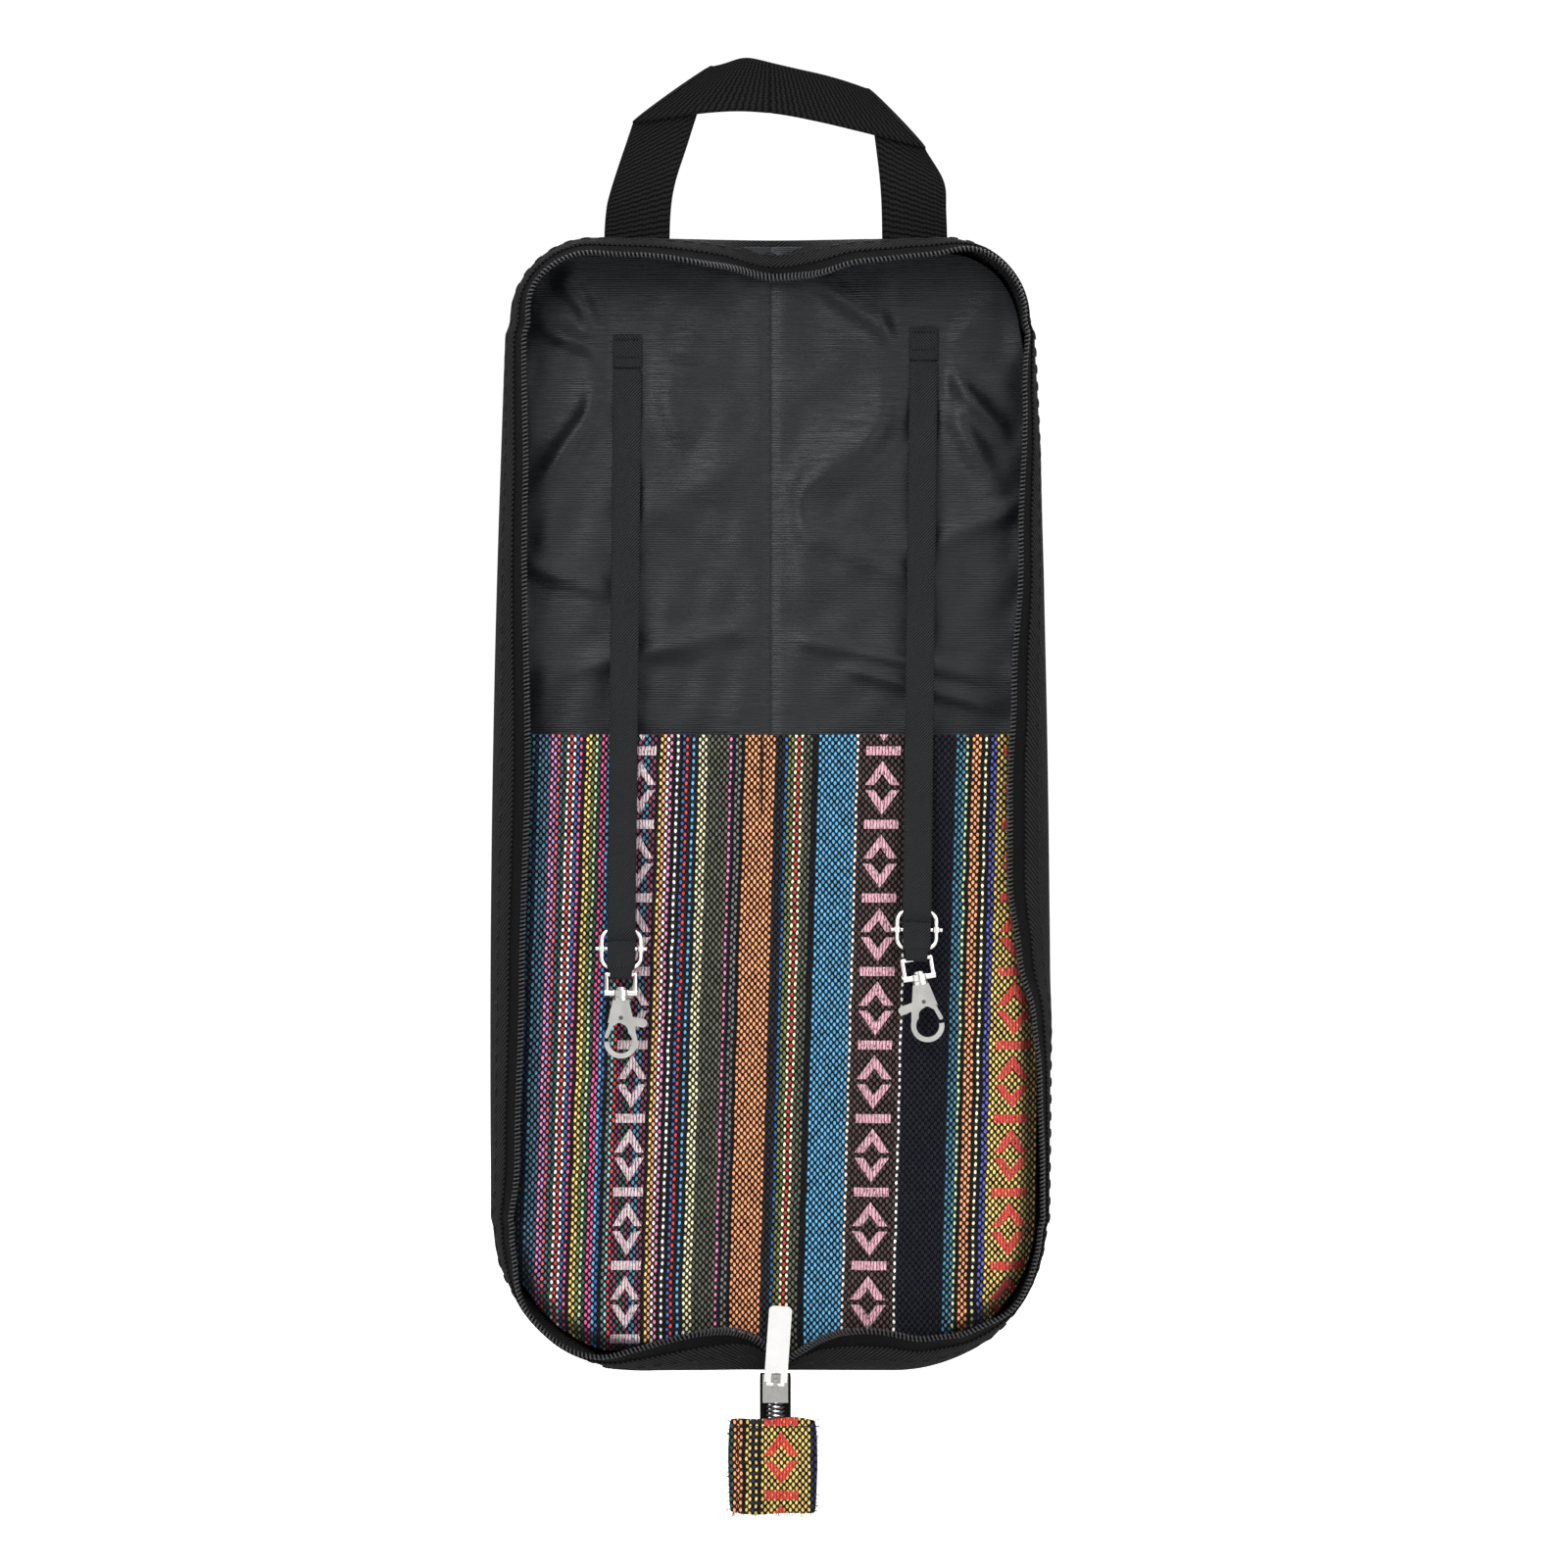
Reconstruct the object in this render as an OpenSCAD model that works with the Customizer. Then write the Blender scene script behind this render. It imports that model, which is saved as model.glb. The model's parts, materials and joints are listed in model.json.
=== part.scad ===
// Drum stick bag: a padded book-type bag, lying open. It folds in half along its spine and closes
// with a two-sided zipper. Z runs up the bag, X across it, and the inside faces -Y. The origin is the
// middle of the spine on the bag's back face.

/* [Bag] */
// Width of the open bag
bag_w = 220; // [216:1:240]
// Height of the bag's body, which has to be longer than a drum stick
bag_h = 445; // [440:1:460]
// Radius of the bag's corners
corner_r = 28; // [24:1:32]
// Depth of an open half, from its back to the zipper
half_depth = 27.2; // [27.2:0.1:30]
// Half of the spine's width between the two fold lines
spine_half = 22.8; // [22.8:0.1:26]

/* [Layers] */
// Thickness of the woven outer shell
shell_t = 1; // [0.6:0.1:1]
// Thickness of the foam padding
foam_t = 3; // [2:0.1:3]
// Thickness of the lining
lining_t = 0.5; // [0.3:0.1:0.5]
// Thickness of the pocket's woven fabric
pocket_t = 0.8; // [0.5:0.1:0.8]
// Room inside the empty pocket, enough for a drum stick
pocket_room = 14.6; // [14.4:0.1:15]
// Height of the pocket's mouth above the origin
pocket_top = 28; // [20:1:40]

/* [Straps] */
// Width of the holding straps
strap_w = 10.6; // [9:0.1:10.6]
// Thickness of the strap tape
strap_t = 0.8; // [0.6:0.1:0.8]
// Sideways place of the left strap's anchor
left_anchor_x = -56.2; // [-58:0.1:-55]
// Height of the left strap's anchor
left_anchor_z = 172; // [170:1:174]
// Sideways place of the right strap's anchor
right_anchor_x = 60.4; // [58:0.1:61]
// Height of the right strap's anchor
right_anchor_z = 175; // [173:1:177]

/* [Hardware] */
// Diameter of the buckle and clasp wire
wire_d = 1.8; // [1.4:0.1:1.8]
// Outer radius of the clasp's bow
bow_r = 6.5; // [6.3:0.1:6.5]
// Inner radius of the clasp's bow, where it takes a ring or a drum's lug
bow_hole_r = 4.5; // [4.3:0.1:4.6]
// Thickness of the clasp's body
clasp_t = 2.8; // [2.6:0.1:2.8]
// Width of the zipper's pull tab
pull_w = 9; // [8:0.1:9]
// Length of the zipper's pull tab
pull_l = 31; // [25:1:31]

/* [Handle and tail] */
// Width of the handle's webbing
webbing_w = 25; // [25:0.5:26]
// Thickness of the handle's webbing
webbing_t = 1.4; // [1.2:0.1:1.4]
// Height of the handle's highest point
handle_top = 294; // [292:1:300]
// Width of the fabric tab on the zipper's tail
tab_w = 35; // [30:1:38]
// Length of the fabric tab on the zipper's tail
tab_l = 38; // [34:1:40]

/* [Hidden] */
$fn = 48;
LEFT = -1;
RIGHT = 1;

// The halves turn about upright lines this far in front of the back face
fold_depth = 6;
// Room left between the spine's pieces and a half's pieces
fold_gap = 0.4;
inner_depth = shell_t + foam_t + lining_t;
pocket_depth = inner_depth + pocket_room;
// How far the panels stand inside the bag's outline, behind the binding
panel_inset = 3;
// The wall steps inward as it rises: binding, zipper tape, zipper coil
tape_inset = 7.5;
coil_inset = 11.5;
coil_w = 3.5;
tape_depth = 17;
coil_depth = half_depth - 2.8;
pocket_inset = 12.2;
// Nothing of the bottom wall stands this close to the middle, where the pull tab lies
bottom_notch = 31;
// The pocket's front is hollow under each strap
valley_depth = 2.5;
valley_half = 14;
valley_r = (valley_half * valley_half + valley_depth * valley_depth) / (2 * valley_depth);

// Straps hang from their anchor at a small angle from upright, outward over the pocket's mouth
strap_hinge_depth = 6.2;
strap_slant = 4.8;
left_strap_lean = 0.5;
right_strap_lean = 0.8;
left_strap_l = 238.8;
right_strap_l = 235.8;
left_buckle_drop = 228.8;
right_buckle_drop = 224.4;
left_clasp_tilt = 0;
right_clasp_tilt = -9.6;
// The right loop hangs this much lower, because its clasp's eye lies askew in it
right_loop_slack = 1;
wire_r = wire_d / 2;
wire_gap = 0.15;
// Distance from the strap's middle to the wires behind it
wire_back = strap_t / 2 + wire_gap + wire_r;
loop_in = wire_r + wire_gap;
buckle_w = 15.2;
buckle_h = 14.6;
buckle_corner = 4;
bar_end = 10;

eye_w = 11.2;
// The tape is gathered narrower where it loops through the eye
loop_w = 8.2;
loop_neck = 4;
eye_drop = 7.3;
collar_r = 3.1;
collar_h = 2.6;
post_r = 1.1;
pivot_drop = 9.6;
bow_drop = 19;
rivet_r = 0.8;
slot_t = 1.3;
lever_t = 1.1;

// The tail hangs a little to the right of the spine's middle
tail_x = 2;
tail_depth = 8;
tail_gap = 1.4;
coil_half = 2.2;
tape_edge = 5.8;
tape_t = 0.7;
tail_top = -bag_h / 2 - 0.8;
tab_top = -bag_h / 2 - 18.3;
tab_t = 4;
tab_shift = -1;
slider_top = -bag_h / 2 - 1.1;
slider_l = 11.2;
slider_half = 5;
pull_t = 1.2;
pull_bar_r = 0.75;
pull_depth = 11.5;
pull_z = slider_top - 4;
pull_tilt = 4;

strap_black = [0.17, 0.18, 0.19];
binding_black = [0.15, 0.15, 0.16];
lining_grey = [0.22, 0.24, 0.26];
foam_white = [0.85, 0.85, 0.8];
weave = [0.55, 0.35, 0.4];
nickel = [0.85, 0.85, 0.83];
coil_black = [0.1, 0.1, 0.11];

// ---- Shared shapes ----

// A flat shape drawn across (x) and up (z), made solid from a depth behind the front toward -Y
module layer(depth, t) translate([0, -depth, 0]) rotate([90, 0, 0]) linear_extrude(t) children();

module rounded_rect(w, h, r) {
    square([w - 2 * r, h], center = true);
    square([w, h - 2 * r], center = true);
    for (x = [-1, 1], z = [-1, 1]) translate([x * (w / 2 - r), z * (h / 2 - r)]) circle(r);
}

module outline(inset) rounded_rect(bag_w - 2 * inset, bag_h - 2 * inset, corner_r - inset);

module ring(inset, w) difference() { outline(inset); outline(inset + w); }

// The region of one half, starting "from" away from the middle
module half_region(side, from) translate([side > 0 ? from : -bag_w, -bag_h]) square([bag_w - from, 2 * bag_h]);

module on_half(side) intersection() { children(); half_region(side, spine_half + fold_gap); }

// A half's wall ring, left open near the middle of the bottom
module wall_ring(side, inset, w) difference() {
    on_half(side) ring(inset, w);
    translate([-bottom_notch, -bag_h / 2 - 1]) square([2 * bottom_notch, corner_r + 1]);
}

module on_spine() intersection() {
    children();
    square([2 * (spine_half - fold_gap), 2 * bag_h], center = true);
}

// A straight bar with round ends, from a to b, in the flat
module bar2d(a, b, w) {
    d = b - a;
    translate(a) rotate(atan2(d.y, d.x)) {
        translate([0, -w / 2]) square([norm(d), w]);
        circle(w / 2);
        translate([norm(d), 0]) circle(w / 2);
    }
}

module rod_x(r, l) rotate([0, 90, 0]) cylinder(r = r, h = l, center = true);

// ---- Panels: shell, foam and lining ----

module shell(side) color(weave) layer(0, shell_t) on_half(side) outline(panel_inset);

module foam(side) color(foam_white) layer(shell_t, foam_t) on_half(side) outline(panel_inset);

module lining(side) color(lining_grey) layer(shell_t + foam_t, lining_t) on_half(side) outline(panel_inset);

module spine_shell() color(weave) layer(0, shell_t) on_spine() outline(panel_inset);

module spine_foam() color(foam_white) layer(shell_t, foam_t) on_spine() outline(panel_inset);

module spine_lining() color(lining_grey) layer(shell_t + foam_t, lining_t) on_spine() outline(panel_inset);

// ---- Walls: binding, zipper tape and coil ----

module binding(side) color(binding_black) {
    layer(0, 9) on_half(side) difference() { ring(0, panel_inset); spine_end_strip(); }
    layer(8.9, 8.1) wall_ring(side, panel_inset - 0.5, 4.5);
}

// The strip at the bottom middle where the tail hangs past the covers
module spine_end_strip() translate([-bottom_notch, -bag_h / 2 - 1]) square([2 * bottom_notch, 1]);

module zipper_tape(side) color(binding_black) {
    layer(tape_depth, 3) wall_ring(side, panel_inset + 2, 6.9);
    layer(tape_depth + 2.9, coil_depth - tape_depth - 2.9) wall_ring(side, tape_inset, 4.5);
}

module zipper_coil(side) color(coil_black)
    layer(coil_depth, half_depth - coil_depth) wall_ring(side, coil_inset, coil_w);

// Black binding across the spine's two ends
module end_binding(end) color(binding_black) layer(0, 5) on_spine() intersection() {
    ring(0, panel_inset);
    translate([-bag_w / 2, end > 0 ? 0 : -bag_h]) square([bag_w, bag_h]);
}

// The sewn stop where both coils begin at the top of the spine
module zipper_top_stop() color(coil_black) translate([-4, -fold_depth - 0.3, bag_h / 2 - 13]) cube([8, 1.7, 5]);

// ---- Stick pocket ----

// The pocket seen from above: a front sheet with a valley under the strap, and two sides
module pocket_plan(side, valley_x, near, far) {
    sheet = pocket_depth;
    difference() {
        union() {
            translate([near, -sheet - pocket_t]) square([far - near, pocket_t]);
            intersection() {
                translate([valley_x - valley_half, -sheet - pocket_t])
                    square([2 * valley_half, valley_depth + pocket_t]);
                translate([valley_x, -sheet - pocket_t + valley_depth - valley_r])
                    circle(valley_r + pocket_t, $fn = 160);
            }
            for (x = [near, far - pocket_t]) translate([x, -sheet - pocket_t])
                square([pocket_t, sheet - inner_depth - 0.1 + pocket_t]);
        }
        translate([valley_x, -sheet - pocket_t + valley_depth - valley_r]) circle(valley_r, $fn = 160);
    }
}

module pocket(side) color(weave) {
    near = spine_half + fold_gap + 0.2;
    far = bag_w / 2 - pocket_inset;
    floor_z = -bag_h / 2 + pocket_inset + 0.2;
    anchor_x = side > 0 ? right_anchor_x - 2.4 : -left_anchor_x + 1.3;
    mirror([side > 0 ? 0 : 1, 0, 0]) {
        translate([0, 0, floor_z]) intersection() {
            linear_extrude(pocket_top - floor_z) pocket_plan(side, anchor_x, near, far);
            pocket_edge(near, far, pocket_top - floor_z);
        }
        translate([0, 0, floor_z]) intersection() {
            linear_extrude(pocket_t) translate([near, -pocket_depth])
                square([far - near, pocket_room - valley_depth]);
            pocket_edge(near, far, pocket_top - floor_z);
        }
    }
}

// Keeps the pocket clear of the wall's rounded bottom corner
module pocket_edge(near, far, h) {
    r = corner_r - pocket_inset;
    layer(0, half_depth) {
        translate([near, 0]) square([far - near - r, h]);
        translate([near, r]) square([far - near, h - r]);
        translate([far - r, r]) circle(r);
    }
}

// The pocket's fabric where it crosses the spine
module pocket_middle() color(weave) layer(inner_depth + 0.1, pocket_t)
    translate([-spine_half + fold_gap, -bag_h / 2 + pocket_inset])
        square([2 * (spine_half - fold_gap), pocket_top + bag_h / 2 - pocket_inset]);

// ---- Straps ----

// Places children in a strap's own frame: it hangs along -Z from its hinge line
module at_strap(side) {
    x = side > 0 ? right_anchor_x : left_anchor_x;
    z = side > 0 ? right_anchor_z : left_anchor_z;
    lean = side > 0 ? right_strap_lean : left_strap_lean;
    translate([x, -strap_hinge_depth, z]) rotate([0, lean, 0]) rotate([-strap_slant, 0, 0]) children();
}

module strap_anchor(side) color(strap_black) {
    x = side > 0 ? right_anchor_x : left_anchor_x;
    z = side > 0 ? right_anchor_z : left_anchor_z;
    translate([x - strap_w / 2 - 0.4, -inner_depth - 1, z + 0.8]) cube([strap_w + 0.8, 1, 12]);
}

// Tape that runs down in front, through the clasp's eye and back up to the buckle's bar
module strap(side) color(strap_black) at_strap(side) {
    l = side > 0 ? right_strap_l + right_loop_slack : left_strap_l;
    bar = side > 0 ? right_buckle_drop : left_buckle_drop;
    rod_x(strap_t / 2, strap_w);
    neck = l - loop_neck;
    translate([-strap_w / 2, -strap_t / 2, -neck]) cube([strap_w, strap_t, neck]);
    translate([-strap_w / 2, wire_back + loop_in, -neck]) cube([strap_w, strap_t, neck - bar]);
    for (y = [-strap_t / 2, wire_back + loop_in])
        translate([-loop_w / 2, y, -l]) cube([loop_w, strap_t, loop_neck]);
    translate([0, wire_back, -l]) difference() {
        rod_x(loop_in + strap_t, loop_w);
        rod_x(loop_in, strap_w + 1);
        translate([-strap_w, -5, 0]) cube([2 * strap_w, 10, 10]);
    }
}

module at_buckle(side) at_strap(side)
    translate([0, wire_back, -(side > 0 ? right_buckle_drop : left_buckle_drop)]) children();

module buckle_frame(side) color(nickel) at_buckle(side) {
    x = buckle_w / 2;
    z = buckle_h / 2;
    for (s = [-1, 1]) {
        translate([0, 0, s * z]) rod_x(wire_r, buckle_w - 2 * buckle_corner);
        translate([s * x, 0, 0]) cylinder(r = wire_r, h = buckle_h - 2 * buckle_corner, center = true);
    }
    for (q = [0:3]) rotate([0, 90 * q, 0])
        translate([(q % 2 == 0 ? x : z) - buckle_corner, 0, (q % 2 == 0 ? z : x) - buckle_corner])
            rotate([90, 0, 0]) rotate_extrude(angle = 90) translate([buckle_corner, 0]) circle(wire_r);
}

// Middle bar whose ends wrap the frame's two sides
module buckle_bar(side) color(nickel) at_buckle(side) difference() {
    union() {
        rod_x(0.8, 2 * bar_end);
        for (s = [-1, 1]) translate([s * buckle_w / 2, 0, 0]) cylinder(r = 1.5, h = 2, center = true);
    }
    for (s = [-1, 1]) translate([s * buckle_w / 2, 0, 0])
        cylinder(r = wire_r + 0.03, h = 5, center = true);
}

// ---- Swivel clasps ----

// The eye's own frame: its top rod in the strap's loop is at the origin
module at_eye(side) {
    tilt = side > 0 ? right_clasp_tilt : left_clasp_tilt;
    lean = side > 0 ? right_strap_lean : left_strap_lean;
    at_strap(side) translate([0, wire_back, -(side > 0 ? right_strap_l : left_strap_l)])
        rotate([strap_slant, 0, 0]) rotate([0, tilt - lean, 0]) children();
}

// The clasp's own frame: middle of the swivel collar
module at_clasp(side) at_eye(side) translate([0, 0, -eye_drop]) mirror([side > 0 ? 1 : 0, 0, 0]) children();

module clasp_eye(side) color(nickel) at_eye(side) {
    rod_x(wire_r, eye_w);
    for (s = [-1, 1]) translate([s * eye_w / 2, 0, 0]) {
        sphere(wire_r);
        translate([0, 0, -eye_drop]) cylinder(r = wire_r, h = eye_drop);
    }
    translate([0, 0, -eye_drop]) difference() {
        union() {
            rod_x(1.3, eye_w + 1.6);
            cylinder(r = collar_r, h = collar_h, center = true);
        }
        cylinder(r = post_r + 0.05, h = 10, center = true);
    }
}

module bow_outline() {
    difference() {
        union() {
            polygon([[-collar_r, -2.6], [collar_r, -2.6], [5.4, -13], [bow_r, -bow_drop], [-5.2, -11.6]]);
            translate([0, -bow_drop]) circle(bow_r);
        }
        translate([0, -bow_drop]) circle(bow_hole_r);
        translate([-0.4, -15.2]) circle(3.3);
        translate([-3.7, -bow_drop]) square([6.6, 3.8]);
        translate([-bow_r - 1, -18.9]) square([bow_r + 1, 7.3]);
    }
}

module clasp_body(side) color(nickel) at_clasp(side) {
    difference() {
        rotate([90, 0, 0]) linear_extrude(clasp_t, center = true) bow_outline();
        translate([-10, -slot_t / 2, -13]) cube([20, slot_t, 8.4]);
        translate([0, 0, -pivot_drop]) rotate([90, 0, 0]) cylinder(r = rivet_r + 0.03, h = 10, center = true);
    }
    translate([0, 0, -2.7]) cylinder(r = collar_r, h = 1.2);
    translate([0, 0, -2]) cylinder(r = post_r, h = 4.4);
    translate([0, 0, collar_h / 2 + 0.15]) cylinder(r = 1.9, h = 0.8);
}

module clasp_rivet(side) color(nickel) at_clasp(side)
    translate([0, 0, -pivot_drop]) rotate([90, 0, 0]) cylinder(r = rivet_r, h = clasp_t, center = true);

module clasp_spring(side) color(nickel) at_clasp(side)
    translate([1.2, 0, -7.5]) cylinder(r = 0.5, h = 2.7);

// Gate, hub and thumb piece in one plate that turns on the rivet
module clasp_lever(side) color(nickel) at_clasp(side) translate([0, 0, -pivot_drop]) difference() {
    union() {
        rotate([90, 0, 0]) linear_extrude(lever_t, center = true) {
            circle(1.9);
            bar2d([0, 0], [-4, -2.9], 1.8);
            bar2d([-4, -2.9], [-5.6, -7.2], 1.5);
            bar2d([0, -0.4], [8.4, -2], 3.2);
        }
        rotate([90, 0, 0]) linear_extrude(2.2, center = true) {
            bar2d([-4.8, -5], [-5.6, -7.2], 1.6);
            bar2d([7.6, -1.9], [8.6, -2.1], 3.4);
        }
    }
    rotate([90, 0, 0]) cylinder(r = rivet_r + 0.04, h = 10, center = true);
}

// ---- Handle: flat webbing folded over at its two corners ----

leg_foot_left = -65.4;
leg_foot_right = 44.6;
fold_left = [[-53.9, 269], [-23.1, 290.9]];
fold_right = [[60.8, 258.9], [38.5, 282]];
// The arch's lower edge and upper edge, from the left fold to the right fold
arch_low = [[-53.9, 269], [-21, 273], [0, 273.2], [21, 269.7], [60.8, 258.9]];
arch_high = [[-23.1, 290.9], [-21, 291.4], [-3, handle_top], [21, 288.2], [38.5, 282]];
grip_half = 20.9;

module arch_outline() polygon(concat(arch_low, [for (i = [len(arch_high) - 1:-1:0]) arch_high[i]]));

module arch_part(from, to) intersection() {
    arch_outline();
    translate([from, 240]) square([to - from, 80]);
}

module handle_leg(side) color(binding_black) {
    foot = side > 0 ? leg_foot_right : leg_foot_left;
    fold = side > 0 ? fold_right : fold_left;
    base = bag_h / 2 + 0.1;
    layer(0.8, webbing_t) polygon(side > 0
        ? [[foot, base], [foot + webbing_w, base], [foot + webbing_w - 1.5, 246], fold[0], fold[1]]
        : [[foot, base], [foot + webbing_w, base], fold[1], fold[0], [foot + 3, 243]]);
    layer(0.8 + webbing_t, webbing_t) if (side > 0) arch_part(grip_half + 0.2, 100);
        else arch_part(-100, -grip_half - 0.2);
}

module handle_grip() color(binding_black) layer(0.8 + webbing_t, webbing_t) arch_part(-grip_half, grip_half);

// ---- Tail, slider and pull ----

module tail_tapes() color(binding_black) for (s = [-1, 1])
    translate([tail_x + (s > 0 ? tail_gap / 2 + coil_half : -tape_edge), -tail_depth - tape_t / 2, tab_top - 8])
        cube([tape_edge - tail_gap / 2 - coil_half, tape_t, tail_top - tab_top + 8]);

module tail_coils() color(coil_black) for (s = [-1, 1])
    translate([tail_x + (s > 0 ? tail_gap / 2 : -tail_gap / 2 - coil_half), -tail_depth - coil_half / 2, tab_top - 8])
        cube([coil_half, coil_half, tail_top - tab_top + 8]);

// Folded fabric tab with the tail's end sewn inside it
module end_tab() color(weave) translate([tail_x, 0, 0]) difference() {
    translate([tab_shift - tab_w / 2, -tail_depth - tab_t / 2, tab_top - tab_l]) cube([tab_w, tab_t, tab_l]);
    translate([-tape_edge - 0.1, -tail_depth - 1.2, tab_top - 8.1])
        cube([2 * tape_edge + 0.2, 2.4, 8.2]);
}

module slider_body() color(nickel) translate([tail_x, 0, 0]) {
    bottom = slider_top - slider_l;
    inner = 1.4;
    plate = 0.9;
    for (s = [-1, 1]) {
        translate([-slider_half, -tail_depth + (s > 0 ? inner : -inner - plate), bottom])
            cube([2 * slider_half, plate, slider_l]);
        for (x = [-slider_half, slider_half - 0.8])
            translate([x, -tail_depth + (s > 0 ? 0.6 : -inner), bottom]) cube([0.8, 0.8, slider_l]);
    }
    translate([-0.5, -tail_depth - inner, slider_top - 3]) cube([1, 2 * inner, 3]);
    for (z = [pull_z + 1.3, pull_z - 2.9])
        translate([-0.8, -pull_depth - 2.2, z]) cube([1.6, 2.2 + pull_depth - tail_depth - inner - plate, 1]);
    translate([-0.8, -pull_depth - 2.2, pull_z - 2.9]) cube([1.6, 0.8, 5.2]);
}

// A plate that points up at rest and turns on the round bar at its lower end
module pull_tab() color(nickel) translate([tail_x, -pull_depth, pull_z]) rotate([0, pull_tilt, 0]) {
    slot_l = 4.6;
    rod_x(pull_bar_r, pull_w - 2);
    rotate([90, 0, 0]) linear_extrude(pull_t, center = true) difference() {
        union() {
            translate([-pull_w / 2 + 1, 0]) square([pull_w - 2, 4]);
            translate([-pull_w / 2, 1]) square([pull_w, pull_l - 3]);
            translate([-pull_w / 2 + 2, 4]) square([pull_w - 4, pull_l - 4]);
            for (s = [-1, 1]) translate([s * (pull_w / 2 - 2), pull_l - 2]) circle(2);
        }
        translate([-1.9, -1]) square([3.8, slot_l + 1]);
    }
}

spine_shell();
spine_foam();
spine_lining();
pocket_middle();
end_binding(1);  // binding_top
end_binding(-1);  // binding_bottom
zipper_top_stop();
handle_grip();
shell(LEFT);  // left_shell
foam(LEFT);  // left_foam
lining(LEFT);  // left_lining
binding(LEFT);  // left_binding
zipper_tape(LEFT);  // left_zipper_tape
zipper_coil(LEFT);  // left_zipper_coil
pocket(LEFT);  // left_pocket
strap_anchor(LEFT);  // left_strap_anchor
handle_leg(LEFT);  // left_handle_leg
shell(RIGHT);  // right_shell
foam(RIGHT);  // right_foam
lining(RIGHT);  // right_lining
binding(RIGHT);  // right_binding
zipper_tape(RIGHT);  // right_zipper_tape
zipper_coil(RIGHT);  // right_zipper_coil
pocket(RIGHT);  // right_pocket
strap_anchor(RIGHT);  // right_strap_anchor
handle_leg(RIGHT);  // right_handle_leg
strap(LEFT);  // left_strap
buckle_frame(LEFT);  // left_buckle_frame
buckle_bar(LEFT);  // left_buckle_bar
clasp_eye(LEFT);  // left_clasp_eye
clasp_body(LEFT);  // left_clasp_body
clasp_rivet(LEFT);  // left_clasp_rivet
clasp_spring(LEFT);  // left_clasp_spring
clasp_lever(LEFT);  // left_clasp_lever
strap(RIGHT);  // right_strap
buckle_frame(RIGHT);  // right_buckle_frame
buckle_bar(RIGHT);  // right_buckle_bar
clasp_eye(RIGHT);  // right_clasp_eye
clasp_body(RIGHT);  // right_clasp_body
clasp_rivet(RIGHT);  // right_clasp_rivet
clasp_spring(RIGHT);  // right_clasp_spring
clasp_lever(RIGHT);  // right_clasp_lever
tail_tapes();
tail_coils();
end_tab();
slider_body();
pull_tab();
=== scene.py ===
import json
import math

import bpy
import numpy as np
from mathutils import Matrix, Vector


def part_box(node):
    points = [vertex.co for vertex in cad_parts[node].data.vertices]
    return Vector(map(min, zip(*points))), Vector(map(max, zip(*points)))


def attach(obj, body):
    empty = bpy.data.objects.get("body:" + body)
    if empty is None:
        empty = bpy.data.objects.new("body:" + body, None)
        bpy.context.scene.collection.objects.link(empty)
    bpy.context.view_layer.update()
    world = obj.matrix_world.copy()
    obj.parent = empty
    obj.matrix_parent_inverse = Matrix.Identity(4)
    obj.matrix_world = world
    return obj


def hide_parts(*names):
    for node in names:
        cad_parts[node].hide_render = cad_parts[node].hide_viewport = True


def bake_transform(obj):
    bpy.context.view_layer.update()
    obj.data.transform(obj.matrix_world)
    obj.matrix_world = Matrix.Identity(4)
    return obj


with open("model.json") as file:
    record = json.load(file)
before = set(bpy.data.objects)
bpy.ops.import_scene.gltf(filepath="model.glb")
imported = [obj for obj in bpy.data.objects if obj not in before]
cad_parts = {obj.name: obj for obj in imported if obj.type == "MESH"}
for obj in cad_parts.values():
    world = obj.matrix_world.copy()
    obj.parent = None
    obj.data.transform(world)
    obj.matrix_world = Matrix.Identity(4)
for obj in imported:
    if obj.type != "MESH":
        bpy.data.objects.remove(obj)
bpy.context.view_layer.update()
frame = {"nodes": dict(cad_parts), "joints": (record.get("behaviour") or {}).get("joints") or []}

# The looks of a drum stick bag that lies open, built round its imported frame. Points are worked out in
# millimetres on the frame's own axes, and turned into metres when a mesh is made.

MM = 0.001
LEFT, RIGHT = "left", "right"
SIGN = {LEFT: -1.0, RIGHT: 1.0}
ACROSS = np.array([1.0, 0, 0])
FRONT = np.array([0, -1.0, 0])
UP = np.array([0, 0, 1.0])
rng = np.random.default_rng(7)

joint = {j["name"]: j for j in frame["joints"]}


def box(node):
    """Lowest and highest corner of a CAD node, in millimetres."""
    return [np.array(corner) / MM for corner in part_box(node)]


def joint_point(name):
    return np.array(joint[name]["pos_m"]) / MM


# ---- Sizes taken from the frame ----

HALF_W = box("right_binding")[1][0]
HALF_H = box("right_binding")[1][2]
DEPTH = -box("right_zipper_coil")[0][1]
FOLD_X = abs(joint_point("right_fold")[0])
FOAM_FRONT = -box("right_foam")[0][1]
LINING_FRONT = -box("right_lining")[0][1]
POCKET_FRONT = -box("right_pocket")[0][1]
POCKET_TOP = box("right_pocket")[1][2]
TAIL_X = joint_point("tail_bend")[0]
TAIL_DEPTH = -joint_point("tail_bend")[1]

# The sides bow outward a little, and the bottom corners are rounder than the top ones
WIDEST_Z = -90.0
SIDE_BOW = 7.0
TOP_R = 33.0
BOTTOM_R = 60.0

# Distances from the middle that each kind of piece hands to bend()
PANEL_BEND = (FOLD_X - 9, FOLD_X + 3)
WALL_BEND = (8, 30)
HANDLE_BEND = (10, 38)


# ---- Small maths ----

def smooth(x, lo, hi):
    t = np.clip((x - lo) / (hi - lo), 0, 1)
    return t * t * (3 - 2 * t)


def distances(points):
    """How far along a line each of its points lies."""
    steps = np.linalg.norm(np.diff(points, axis=0), axis=1)
    return np.concatenate([[0], np.cumsum(steps)])


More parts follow.
